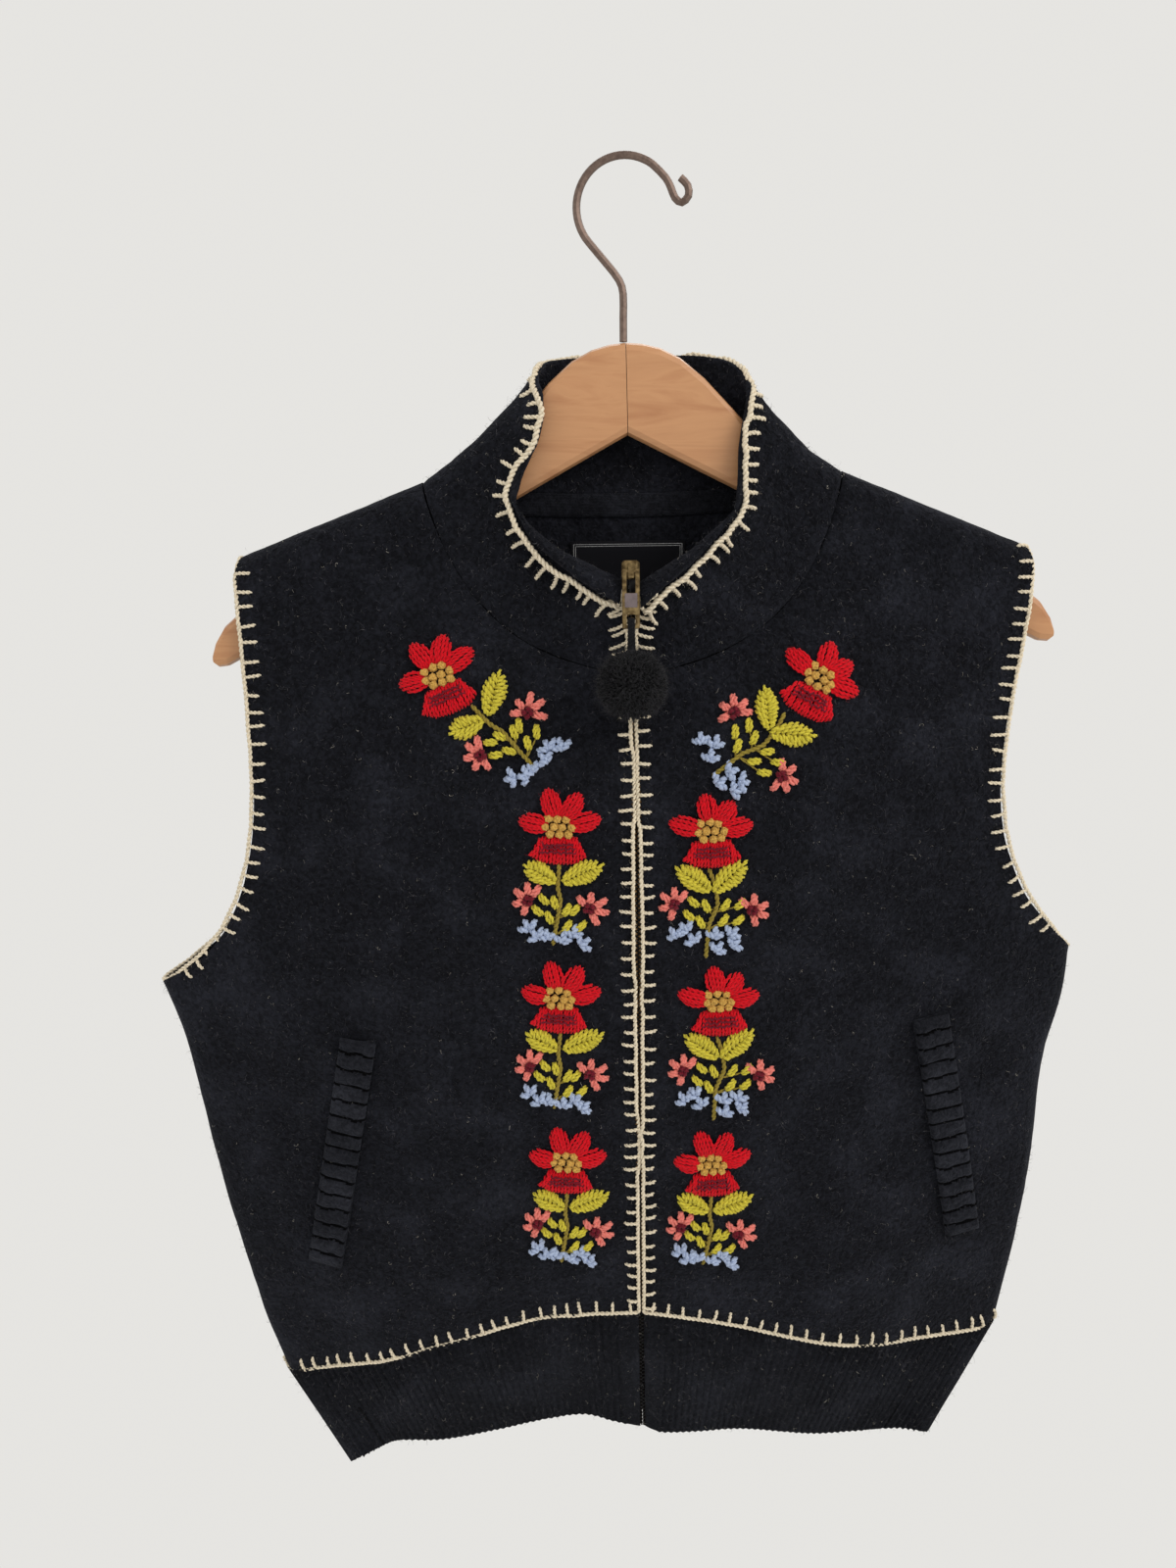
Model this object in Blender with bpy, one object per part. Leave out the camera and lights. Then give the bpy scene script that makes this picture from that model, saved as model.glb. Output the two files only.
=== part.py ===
"""Sleeveless boiled-wool vest with a funnel collar, hung on a flat wooden hanger.

Metres, +Z up. The fronts face -Y and +X is the viewer's right; left and right are as seen from
the front. The origin is the inside of the hook's top, where a rail would bear. The sizes and
tables below are in millimetres, and MM turns them into metres when a mesh is made.
"""

import math

import bmesh
import bpy
import numpy as np
from mathutils import Matrix, Vector
from mathutils.bvhtree import BVHTree

MM = 0.001

# Cloth
WALL = 2.6                 # boiled wool
BAND_WALL = 2.2            # ribbed waistband under its ribs
SEAM = 0.3                 # gap between neighbouring pieces
LIFT = 0.4                 # gap under what lies on a panel

# The hang of the body: half depths over the hanger, at the sides and in the middle
SHOULDER_ROUND = 11.5
SIDE_ROUND = 11.5
BULGE_REACH = 120.0        # distance below the shoulder where the bulge is whole
FRONT_BULGE = {"height": [-150, -300, -500, -600, -640, -700], "depth": [0, 18, 20, 16, 15, 12]}
BACK_BULGE = {"height": [-150, -300, -500, -600, -640, -700], "depth": [0, 13, 14, 12, 11, 9]}

# Soft folds: a rise at x between two heights, with its half width and its depth
FRONT_FOLDS = [
    {"x": -118, "half_width": 62, "top": -530, "bottom": -690, "depth": 7},
    {"x": 118, "half_width": 62, "top": -530, "bottom": -690, "depth": 7},
    {"x": -168, "half_width": 30, "top": -300, "bottom": -560, "depth": -2.5},
    {"x": 164, "half_width": 28, "top": -290, "bottom": -540, "depth": -2.5},
    {"x": -78, "half_width": 34, "top": -250, "bottom": -420, "depth": 2.5},
    {"x": 84, "half_width": 34, "top": -250, "bottom": -430, "depth": 2.5},
]
BACK_FOLDS = [
    {"x": -96, "half_width": 44, "top": -250, "bottom": -660, "depth": 4},
    {"x": 88, "half_width": 40, "top": -280, "bottom": -670, "depth": 4.5},
    {"x": -6, "half_width": 36, "top": -330, "bottom": -650, "depth": -3},
    {"x": -164, "half_width": 30, "top": -400, "bottom": -650, "depth": 3.5},
    {"x": 158, "half_width": 28, "top": -380, "bottom": -640, "depth": 3},
]

# Outlines seen from the front: rows of (x, z)
OUTLINE = {
    "left": {
        "neck": [(-104, -150), (-97, -174), (-87, -195), (-73, -214), (-51, -232), (-21, -243),
                 (0, -247)],
        "armhole": [(-199, -186), (-200, -200), (-198, -236), (-197, -272), (-195.5, -304),
                    (-198, -330), (-204, -354), (-217, -383), (-233, -401), (-250, -410),
                    (-259.5, -416)],
        "side": [(-259.5, -416), (-252.5, -436), (-247.5, -461), (-243.5, -491), (-236.5, -535),
                 (-227.5, -582), (-215.5, -635), (-206.5, -662)],
        "front_hip": [(5, -612), (-24, -613), (-43, -613), (-62, -617), (-87, -624), (-108, -629),
                      (-130, -638), (-152, -648), (-174, -651), (-196, -658), (-206.5, -662)],
        "front_hem": [(5, -697), (-11, -693), (-28, -688), (-50, -691), (-81, -699), (-111, -706),
                      (-140, -708), (-152, -714), (-167, -724), (-172, -732)],
    },
    "right": {
        "neck": [(110, -147), (102, -177), (97, -190), (89, -203), (79, -216), (66, -227),
                 (48, -236), (28, -243), (0, -247)],
        "armhole": [(205, -185), (207, -196), (205.5, -221), (202, -241), (198, -262), (196, -282),
                    (193.5, -303), (197, -334), (204.5, -354), (212, -370), (225, -385), (236.5, -396),
                    (243.5, -403)],
        "side": [(243.5, -403), (244.5, -420), (241.5, -434), (235.5, -455), (232, -482),
                 (232.5, -514), (230.5, -542), (225.5, -582), (220, -616), (217, -632)],
        "front_hip": [(5, -612), (23, -615), (45, -619), (64, -623), (87, -628), (112, -634),
                      (142, -636), (176, -637), (199, -637), (210, -634), (217, -632)],
        "front_hem": [(5, -697), (17, -701), (39, -701), (66, -700), (106, -705), (134, -705),
                      (160, -705), (173, -708), (181, -714)],
    },
}
BACK_NECK_DROP = 12.0      # how far the back neck dips under the neck points
BACK_HIP_RISE = 14.0       # the middle of the back's lower edge above the line of its sides
BACK_HEM_RISE = 12.0
CENTRE_LINE = {"height": [-720, -612, -409, -279, -246, -200], "x": [6.5, 5, 4, 3, 1.5, 0]}
ZIP_GAP = {"height": [-720, -612, -450, -425, -395, -340, -247, -200],
           "width": [2.8, 2.8, 2.8, 4.6, 5.0, 3.4, 3.2, 3.4]}

# Rows and columns of the panels' grids
SEAM_STEPS = [0.0, 1.0, 3.5, 7.0, 11.5]      # close rows where the cloth turns over a seam
NECK_ROWS = 11
UNDERARM_ROW = 19
PANEL_ROWS = 28
FRONT_COLUMNS = 12
BACK_NECK_STEPS = [-1, -0.96, -0.87, -0.7, -0.4, 0, 0.4, 0.7, 0.87, 0.96, 1]
BACK_SHOULDER_COLUMNS = 6

# Collar: its upper edge, from the left zip edge round the back to the right zip edge
COLLAR_EDGE = [
    {"x": -4.5, "y": -33, "z": -211}, {"x": -24, "y": -34, "z": -199},
    {"x": -43, "y": -32, "z": -185}, {"x": -54, "y": -28, "z": -169},
    {"x": -58, "y": -23, "z": -158}, {"x": -54, "y": -19, "z": -147},
    {"x": -45, "y": -16, "z": -134}, {"x": -40, "y": -14, "z": -121},
    {"x": -42, "y": -11, "z": -108}, {"x": -45, "y": -3, "z": -98},
    {"x": -42, "y": 7, "z": -92}, {"x": -33, "y": 15, "z": -89},
    {"x": -17, "y": 19, "z": -88}, {"x": 2, "y": 20, "z": -88},
    {"x": 24, "y": 19, "z": -88}, {"x": 44, "y": 15, "z": -88},
    {"x": 55.5, "y": 8, "z": -93}, {"x": 61, "y": -2, "z": -101},
    {"x": 60.5, "y": -9, "z": -111}, {"x": 57.5, "y": -13, "z": -122},
    {"x": 55.5, "y": -15, "z": -134}, {"x": 56, "y": -19, "z": -149},
    {"x": 54.5, "y": -25, "z": -164}, {"x": 49, "y": -30, "z": -173},
    {"x": 40, "y": -33, "z": -182}, {"x": 29, "y": -35, "z": -193},
    {"x": 18, "y": -36, "z": -202}, {"x": 5.5, "y": -35, "z": -213},
]
COLLAR_SIDES = (9, 17)      # the rows of the table that lie over the shoulder seams
COLLAR_ROWS = [0.0, 0.17, 0.34, 0.52, 0.68, 0.84, 1.0]
COLLAR_CREST = 4           # the row along the top of the roll
COLLAR_FLARE = {"left": 8.0, "right": 10.0}      # how hollow the collar's sides are
COLLAR_ROLL = {"share": [0, 0.07, 0.16, 0.22, 0.28, 0.72, 0.78, 0.84, 0.93, 1],
               "back": [7, 8, 8, 3, 0, 0, 3, 8, 8, 7],
               "up": [44, 42, 32, 12, 0, 0, 12, 32, 42, 44]}

# Waistband ribs
RIB_PITCH = 4.4
RIB_RISE = 1.0
PLACKET = 9.0              # plain strip beside the zip

# Pocket welts: the four corners as (x, z)
POCKET = {
    "left": {"top_in": (-138, -443), "top_out": (-158, -446), "low_in": (-165, -585),
             "low_out": (-184, -581)},
    "right": {"top_in": (153, -438), "top_out": (172, -432), "low_in": (180, -571),
              "low_out": (197, -566)},
}
POCKET_RIBS = 15
POCKET_THICK = 2.0
POCKET_RIB_RISE = 0.9

# Embroidered flower heads: centre, turn in degrees and size against the first one
BLOOMS = {
    "left": [
        {"x": -97, "z": -247, "turn": 24, "size": 1.0}, {"x": -37, "z": -325, "turn": -3, "size": 1.0},
        {"x": -38, "z": -419, "turn": -13, "size": 0.98}, {"x": -36, "z": -515, "turn": -4, "size": 1.0},
    ],
    "right": [
        {"x": 97, "z": -251, "turn": -26, "size": 1.0}, {"x": 42, "z": -328, "turn": 4, "size": 1.03},
        {"x": 47, "z": -422, "turn": 9, "size": 1.0}, {"x": 44, "z": -518, "turn": 4, "size": 1.0},
    ],
}
BLOOM_SECTORS = 30
BLOOM_CORE = 9.0
BLOOM_LOBES = [
    {"angle": 163, "reach": 10.0, "half_width": 24}, {"angle": 113, "reach": 11.5, "half_width": 23},
    {"angle": 67, "reach": 11.5, "half_width": 23}, {"angle": 17, "reach": 10.0, "half_width": 24},
    {"angle": 270, "reach": 7.5, "half_width": 74},
]
BLOOM_HEIGHTS = {"share": [0.0, 0.55, 0.92, 1.0], "height": [2.4, 2.6, 1.7, 0.0]}

# Zip
TAPE_WIDTH = 12.0
COLLAR_TAPE_WIDTH = 4.0
TAPE_THICK = 1.0
BEAD_IN = 0.15
BEAD_OUT = 1.05
BEAD_SET_BACK = 0.7
SLIDER = {"half_width": 4.4, "height": 9.0, "depth": 6.0, "forward": 4.0, "above": 3.2}
PULL = {"half_width": 4.3, "length": 29.0, "thick": 1.6, "bar": 1.6}

# Pompom
POMPOM_RADIUS = 18.0
POMPOM_CORE = 14.2
POMPOM_STRANDS = 110
CORD_RADIUS = 1.0

# Neck label
LABEL = {"x": 1.0, "z": -193.5, "width": 60.0, "height": 26.0, "thick": 0.8}

# Hanger
WOOD_THICK = 11.6
WOOD_ROUND = 4.0
HANGER_TILT = 1.05         # degrees, down on the left
WOOD_TOP = {"x": [0, 8, 17, 27, 39, 54, 75, 95, 104.5, 113, 122, 150, 180, 204, 212, 217, 219],
            "z": [-84, -84.7, -87, -92, -102, -118, -142, -155, -158.5, -161, -163.5, -176.5, -195,
                  -211, -217.5, -225, -232]}
WOOD_BOTTOM = {"x": [0, 204, 212, 217, 219], "z": [-128, -234, -238, -238.5, -236]}
HOOK_WIRE = 3.8
HOOK_RADIUS = 23.5
HOOK_SHANK = [(-1, -83.4), (-1, -72), (-1, -61), (-3, -54.5), (-9, -47)]
HOOK_TIP = [(20, -8.5), (22.5, -13), (24.5, -17.5), (27.8, -19.6), (31, -16.6), (30.6, -12), (27, -8.4)]

# Colours, roughness and metallic value
FINISHES = {
    "black_wool": ((0.010, 0.010, 0.014), 0.95, 0.0),
    "black_rib": ((0.009, 0.009, 0.012), 0.95, 0.0),
    "zip_tape": ((0.03, 0.022, 0.018), 0.7, 0.2),
    "antique_brass": ((0.28, 0.22, 0.13), 0.4, 1.0),
    "black_yarn": ((0.008, 0.008, 0.009), 0.98, 0.0),
    "red_wool": ((0.6, 0.008, 0.02), 0.9, 0.0),
    "label_satin": ((0.012, 0.012, 0.014), 0.6, 0.0),
    "beech": ((0.56, 0.30, 0.14), 0.5, 0.0),
    "bronze_wire": ((0.10, 0.075, 0.06), 0.4, 0.9),
}


# Small helpers

def share(t):
    """A smooth step from 0 to 1."""
    t = min(max(t, 0.0), 1.0)
    return t * t * (3 - 2 * t)


def read(table, key, value, at):
    """The column value of a table at a place between its rows."""
    keys, values = np.array(table[key], float), np.array(table[value], float)
    order = np.argsort(keys)
    return float(np.interp(at, keys[order], values[order]))


def spline(points, count=24):
    """Points on a smooth curve through the given ones."""
    p = np.array(points, float)
    if len(p) == 2:
        return np.linspace(p[0], p[1], count + 1)
    ends = np.vstack([2 * p[0] - p[1], p, 2 * p[-1] - p[-2]])
    out = []
    for a, b, c, d in zip(ends, ends[1:], ends[2:], ends[3:]):
        for t in np.arange(count) / count:
            out.append(0.5 * (2 * b + (c - a) * t + (2 * a - 5 * b + 4 * c - d) * t * t
                              + (3 * b - a - 3 * c + d) * t ** 3))
    return np.array(out + [p[-1]])


def lengths(points):
    """The distance along a row of points, from 0."""
    return np.concatenate([[0], np.cumsum(np.linalg.norm(np.diff(points, axis=0), axis=1))])


def at_lengths(points, places):
    """The points at the given distances along a row of points."""
    run = lengths(points)
    return np.stack([np.interp(places, run, points[:, k]) for k in range(points.shape[1])], axis=1)


def material(name):
    """A Principled material of one of the finishes."""
    made = bpy.data.materials.get(name)
    if made is None:
        colour, roughness, metallic = FINISHES[name]
        made = bpy.data.materials.new(name)
        made.use_nodes = True
        shader = made.node_tree.nodes["Principled BSDF"]
        shader.inputs["Base Color"].default_value = (*colour, 1)
        shader.inputs["Roughness"].default_value = roughness
        shader.inputs["Metallic"].default_value = metallic
    return made


def solid(name, points, faces, finish, origin=(0, 0, 0)):
    """One closed object from points in millimetres; its own origin is at the given place."""
    mesh = bpy.data.meshes.new(name)
    base = np.array(origin, float)
    mesh.from_pydata([tuple((np.array(p) - base) * MM) for p in points], [], faces)
    work = bmesh.new()
    work.from_mesh(mesh)
    bmesh.ops.triangulate(work, faces=work.faces[:])
    bmesh.ops.recalc_face_normals(work, faces=work.faces[:])
    work.to_mesh(mesh)
    work.free()
    made = bpy.data.objects.new(name, mesh)
    made.location = base * MM
    mesh.materials.append(material(finish))
    mesh.shade_smooth()
    mesh.set_sharp_from_angle(angle=math.radians(50))
    bpy.context.scene.collection.objects.link(made)
    return made


def wall(name, outer, inner, finish):
    """A cloth wall between two grids of points with the same rows and columns."""
    rows, columns = outer.shape[:2]
    count = rows * columns
    points = list(outer.reshape(-1, 3)) + list(inner.reshape(-1, 3))
    faces = []
    for r in range(rows - 1):
        for c in range(columns - 1):
            a, b = r * columns + c, r * columns + c + 1
            d, e = a + columns, b + columns
            faces.append((a, b, e, d))
            faces.append((count + a, count + d, count + e, count + b))
    border = [c for c in range(columns)]
    border += [r * columns + columns - 1 for r in range(1, rows)]
    border += [(rows - 1) * columns + c for c in range(columns - 2, -1, -1)]
    border += [r * columns for r in range(rows - 2, 0, -1)]
    for a, b in zip(border, border[1:] + border[:1]):
        faces.append((a, count + a, count + b, b))
    return solid(name, points, faces, finish)


def flatten(normals, index, axis):
    """Lays the chosen normals in the plane across an axis, so that an edge is cut square."""
    normals[index + (axis,)] = 0
    normals[index] /= np.linalg.norm(normals[index], axis=-1)[..., None]


# The hang of the body

def quarter_round(distance, radius):
    t = min(max(distance / radius, 0.0), 1.0)
    return radius * math.sqrt(max(0.0, 1 - (1 - t) ** 2))


SIDE_CURVES = {side: spline(OUTLINE[side]["side"])[::-1] for side in OUTLINE}


def half_width(x, z):
    """The body's half width at a height, as if the sides went on up to the shoulders."""
    curve = SIDE_CURVES["left" if x < 0 else "right"]
    return float(np.interp(z, curve[:, 1], abs(curve[:, 0])))


def shoulder_slope(side):
    """How much a shoulder falls for each millimetre outwards."""
    near, far = OUTLINE[side]["neck"][0], OUTLINE[side]["armhole"][0]
    return (near[1] - far[1]) / (abs(far[0]) - abs(near[0]))


def folds(table, x, z):
    """The rise of the soft folds at a place."""
    total = 0.0
    for fold in table:
        across = max(0.0, 1 - ((x - fold["x"]) / fold["half_width"]) ** 2) ** 2
        middle = (fold["top"] + fold["bottom"]) / 2
        reach = (fold["top"] - fold["bottom"]) / 2
        along = max(0.0, 1 - ((z - middle) / reach) ** 2)
        total += fold["depth"] * across * along
    return total


def depth(x, z, bulge, fold_table):
    """How far the cloth stands from the plane of the hanger."""
    side = "left" if x < 0 else "right"
    neck_x, neck_z = OUTLINE[side]["neck"][0]
    slope = shoulder_slope(side)
    below = (neck_z - slope * (abs(x) - abs(neck_x)) - z) * math.cos(math.atan(slope))
    width = half_width(x, z)
    aside = width - abs(x)
    rounding = min(quarter_round(below, SHOULDER_ROUND), quarter_round(aside, SIDE_ROUND))
    lens = max(0.0, 1 - (abs(x) / width) ** 2) ** 0.8 * min(1.0, max(0.0, below) / BULGE_REACH)
    soft = share(below / 60) * share(aside / 40)
    return rounding + read(bulge, "height", "depth", z) * lens + folds(fold_table, x, z) * soft


def centre_x(z):
    return read(CENTRE_LINE, "height", "x", z)


def zip_gap(z):
    return read(ZIP_GAP, "height", "width", z)


def row_places(length_one, length_two, first_rows, all_rows, turn):
    """Distances along a boundary of two stretches, close together at the shoulder and,
    by the steps in turn, before the end of the first stretch."""
    close = SEAM_STEPS
    count = first_rows - len(close) - len(turn) + 3
    first = np.linspace(close[-1], length_one - turn[-1], count)[1:]
    first = np.concatenate([first, length_one - np.array(turn[-2::-1])])
    second = np.linspace(length_one, length_one + length_two, all_rows - first_rows + 1)[1:]
    return np.concatenate([close, first, second])


# Panels

def outer_edge(side):
    """The armhole and side seam as one row of (x, z), one point for each grid row."""
    armhole = spline(OUTLINE[side]["armhole"])
    seam = spline(OUTLINE[side]["side"])
    stretches = lengths(armhole)[-1], lengths(seam)[-1]
    places = row_places(*stretches, UNDERARM_ROW, PANEL_ROWS, turn=SEAM_STEPS)
    return at_lengths(np.vstack([armhole, seam[1:]]), places)


def front_panel(side):
    """The outer and inner grids of one front; column 0 is the neck and zip edge."""
    sign = -1 if side == "left" else 1
    outline = OUTLINE[side]
    neck = spline(outline["neck"])
    low = outline["front_hip"][0][1]
    centre = np.array([(0.0, z) for z in np.linspace(neck[-1][1], low, 60)])
    stretches = lengths(neck)[-1], lengths(centre)[-1]
    places = row_places(*stretches, NECK_ROWS, PANEL_ROWS, turn=[0.0])
    inner_line = at_lengths(np.vstack([neck, centre[1:]]), places)
    outer_line = outer_edge(side)
    for row, (x, z) in enumerate(inner_line):
        opening = centre_x(z) + sign * zip_gap(z) / 2
        if row >= NECK_ROWS:
            inner_line[row, 0] = opening
        else:
            inner_line[row, 0] = x + opening * share(1 - abs(x) / 60)
    close = 1 - np.array(SEAM_STEPS[::-1]) / 230
    u = np.concatenate([np.linspace(0, close[0], FRONT_COLUMNS + 1)[:-1], close])
    hip = spline(outline["front_hip"])
    hip_places = u * lengths(hip)[-1]
    bottom = at_lengths(hip, hip_places)
    bottom[0] = inner_line[-1]
    bottom[-1] = outer_line[-1]
    straight = inner_line[-1] + u[:, None] * (outer_line[-1] - inner_line[-1])
    outer = np.zeros((PANEL_ROWS + 1, len(u), 3))
    for row in range(PANEL_ROWS + 1):
        flat = inner_line[row] + u[:, None] * (outer_line[row] - inner_line[row])
        low_share = max(0.0, (row - NECK_ROWS) / (PANEL_ROWS - NECK_ROWS)) ** 2
        flat = flat + low_share * (bottom - straight)
        for column, (x, z) in enumerate(flat):
            outer[row, column] = (x, -SEAM / 2 - depth(x, z, FRONT_BULGE, FRONT_FOLDS), z)
    return outer, inner_grid(outer, -1, FRONT_BULGE, FRONT_FOLDS, left_seam=False)


def back_panel():
    """The outer and inner grids of the back, from the left to the right."""
    left, right = outer_edge("left"), outer_edge("right")
    neck_left = np.array(OUTLINE["left"]["neck"][0], float)
    neck_right = np.array(OUTLINE["right"]["neck"][0], float)
    middle = (neck_left + neck_right) / 2
    curve = []
    for t in BACK_NECK_STEPS:
        place = middle + t * (neck_right - neck_left) / 2
        curve.append((place[0], place[1] - BACK_NECK_DROP * (1 - abs(t) ** 2.6)))
    top = [tuple(p) for p in np.linspace(left[0], neck_left, BACK_SHOULDER_COLUMNS + 1)[:-1]]
    top += curve
    top += [tuple(p) for p in np.linspace(neck_right, right[0], BACK_SHOULDER_COLUMNS + 1)[1:]]
    top = np.array(top)
    width = right[0] - left[0]
    u = (top[:, 0] - left[0][0]) / width[0]
    extra = np.array(SEAM_STEPS[1:]) / 430
    u = np.sort(np.concatenate([u, extra, 1 - extra]))
    top_x = left[0][0] + u * width[0]
    top = np.stack([top_x, np.interp(top_x, top[:, 0], top[:, 1])], axis=1)
    low_left, low_right = left[-1], right[-1]
    bottom = low_left + u[:, None] * (low_right - low_left)
    bottom[:, 1] += BACK_HIP_RISE * (1 - (2 * u - 1) ** 2) ** 0.8
    outer = np.zeros((PANEL_ROWS + 1, len(u), 3))
    for row in range(PANEL_ROWS + 1):
        shift_top = (1 - u)[:, None] * (left[row] - left[0]) + u[:, None] * (right[row] - right[0])
        shift_low = (1 - u)[:, None] * (left[row] - low_left) + u[:, None] * (right[row] - low_right)
        blend = share(row / PANEL_ROWS)
        flat = (1 - blend) * (top + shift_top) + blend * (bottom + shift_low)
        for column, (x, z) in enumerate(flat):
            outer[row, column] = (x, SEAM / 2 + depth(x, z, BACK_BULGE, BACK_FOLDS), z)
    return outer, inner_grid(outer, 1, BACK_BULGE, BACK_FOLDS, left_seam=True)


def slopes(x, z, bulge, fold_table):
    """How fast the depth grows along x and along z at a place."""
    step = 0.3
    along_x = depth(x + step, z, bulge, fold_table) - depth(x - step, z, bulge, fold_table)
    along_z = depth(x, z + step, bulge, fold_table) - depth(x, z - step, bulge, fold_table)
    return along_x / (2 * step), along_z / (2 * step)


def inner_grid(outer, sign, bulge, fold_table, left_seam):
    """The cloth's plain inside: the outer points moved in by the wall, square at the seams."""
    normals = np.zeros(outer.shape)
    for row, column in np.ndindex(outer.shape[:2]):
        x, _, z = outer[row, column]
        slope_x, slope_z = slopes(x, z, bulge, fold_table)
        normals[row, column] = (-slope_x, sign, -slope_z)
    normals /= np.linalg.norm(normals, axis=2)[:, :, None]
    shoulder = [c for c in range(outer.shape[1]) if abs(outer[0, c, 1]) < 1.0]
    flatten(normals, (0, shoulder), 1)
    seam_rows = slice(UNDERARM_ROW, None)
    if left_seam:
        flatten(normals, (seam_rows, 0), 1)
    else:
        flatten(normals, (slice(NECK_ROWS, None), 0), 0)
    flatten(normals, (seam_rows, outer.shape[1] - 1), 1)
    flatten(normals, (outer.shape[0] - 1, slice(None)), 2)
    return outer - WALL * normals


# Collar

def collar(fronts, back):
    """The funnel collar: a ring on the neck seam, drawn up to the edge table's curve."""
    back_columns = neck_columns(back[0])
    outer_seam, inner_seam = [], []
    for which, grid in ((outer_seam, 0), (inner_seam, 1)):
        which += [fronts["left"][grid][row, 0] for row in range(NECK_ROWS, -1, -1)]
        which += [back[grid][0, c] for c in back_columns[1:-1]]
        which += [fronts["right"][grid][row, 0] for row in range(NECK_ROWS + 1)]
    outer_seam, inner_seam = np.array(outer_seam), np.array(inner_seam)
    edge = spline([(p["x"], p["y"], p["z"]) for p in COLLAR_EDGE], 12)
    seam_run, edge_run = lengths(outer_seam), lengths(edge)
    seam_share = seam_run / seam_run[-1]
    neck_points = [seam_run[NECK_ROWS], seam_run[-1 - NECK_ROWS]]
    sides = [edge_run[12 * row] for row in COLLAR_SIDES]
    top = at_lengths(edge, np.interp(seam_run, [0, *neck_points, seam_run[-1]],
                                     [0, *sides, edge_run[-1]]))
    outer = np.zeros((len(COLLAR_ROWS), len(top), 3))
    for k, (low, high) in enumerate(zip(outer_seam, top)):
        roll_back = read(COLLAR_ROLL, "share", "back", seam_share[k])
        roll_up = read(COLLAR_ROLL, "share", "up", seam_share[k])
        aside = share((abs(high[0]) - 25) / 25) * share((seam_share[k] - 0.18) / 0.08)
        aside *= share((0.82 - seam_share[k]) / 0.08)
        lean = 0.5 + 0.15 * share(roll_up / 30)
        bend = (1 - lean) * low + lean * high + np.array([0, roll_back, roll_up])
        bend[2] -= COLLAR_FLARE["left" if high[0] < 0 else "right"] * aside
        for j, t in enumerate(COLLAR_ROWS):
            outer[j, k] = (1 - t) ** 2 * low + 2 * t * (1 - t) * bend + t * t * high
    normals = np.cross(np.gradient(outer, axis=1), np.gradient(outer, axis=0))
    normals /= np.linalg.norm(normals, axis=2)[:, :, None]
    if normals[2, len(top) // 2][1] < 0:
        normals = -normals
    for end in (0, len(top) - 1):
        flatten(normals, (slice(None), end), 0)
    inner = outer - WALL * normals
    rise = outer[1] - outer[0]
    rise /= np.linalg.norm(rise, axis=1)[:, None]
    outer[0] = outer_seam + SEAM * rise
    inner[0] = inner_seam + SEAM * rise
    return outer, inner


def neck_columns(back_outer):
    """The back's columns from one neck point to the other."""
    left_x = OUTLINE["left"]["neck"][0][0]
    right_x = OUTLINE["right"]["neck"][0][0]
    x = back_outer[0, :, 0]
    return [c for c in range(len(x)) if left_x - 0.01 <= x[c] <= right_x + 0.01]


# Waistband

def band(name, top_outer, top_inner, hem, plain_start, plain_end):
    """A ribbed band between a panel's lower edge and the hem; ribs rise from its outer points."""
    run = lengths(top_outer)
    ribs = int(round((run[-1] - plain_start - plain_end) / RIB_PITCH))
    places = [0.0]
    rises = [0.0]
    if plain_start:
        places.append(plain_start * 0.55)
        rises.append(0.5)
    pitch = (run[-1] - plain_start - plain_end) / ribs
    for k in range(ribs):
        places += [plain_start + (k + 0.04) * pitch, plain_start + (k + 0.5) * pitch]
        rises += [0.0, RIB_RISE]
    if plain_end:
        places.append(run[-1] - plain_end + 0.3)
        rises.append(0.0)
        places.append(run[-1] - plain_end * 0.5)
        rises.append(0.5)
    places.append(run[-1])
    rises.append(0.0)
    places, rises = np.array(places), np.array(rises)
    top = at_lengths(top_outer, places)
    inside = np.stack([np.interp(places, run, top_inner[:, k]) for k in range(3)], axis=1)
    low = at_lengths(hem, places / run[-1] * lengths(hem)[-1])
    out = top - inside
    out[:, 2] = 0
    out /= np.linalg.norm(out, axis=1)[:, None]
    drop = np.array([0, 0, SEAM])
    outer = np.array([top - drop + rises[:, None] * out, low + rises[:, None] * out])
    inner = np.array([inside - drop, low - BAND_WALL * out])
    return wall(name, outer, inner, "black_rib"), outer, inner


def hem_line(points, sign, corner, bulge):
    """The hem's row of points in space, from the middle or one side to the other side."""
    line = spline(points, 8)
    widest = max(abs(line[:, 0]))
    placed = []
    for x, z in line:
        lens = max(0.0, 1 - (abs(x) / widest) ** 2) ** 0.8
        placed.append((x, sign * (SEAM / 2 + quarter_round(widest - abs(x), corner) + bulge * lens), z))
    return np.array(placed)


# What lies on the panels

def surface(grid):
    """A tree that finds a place on a panel's outside or inside."""
    rows, columns = grid.shape[:2]
    points = [tuple(p) for p in grid.reshape(-1, 3)]
    faces = []
    for r in range(rows - 1):
        for c in range(columns - 1):
            a = r * columns + c
            faces.append((a, a + 1, a + columns + 1, a + columns))
    return BVHTree.FromPolygons(points, faces)


def on_panel(tree, x, z, away):
    """The panel's point at (x, z), moved towards the viewer's side by away."""
    point, normal, _, _ = tree.ray_cast(Vector((x, -300, z)), Vector((0, 1, 0)))
    if normal.y > 0:
        normal = -normal
    return np.array(point + normal * away)


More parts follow.
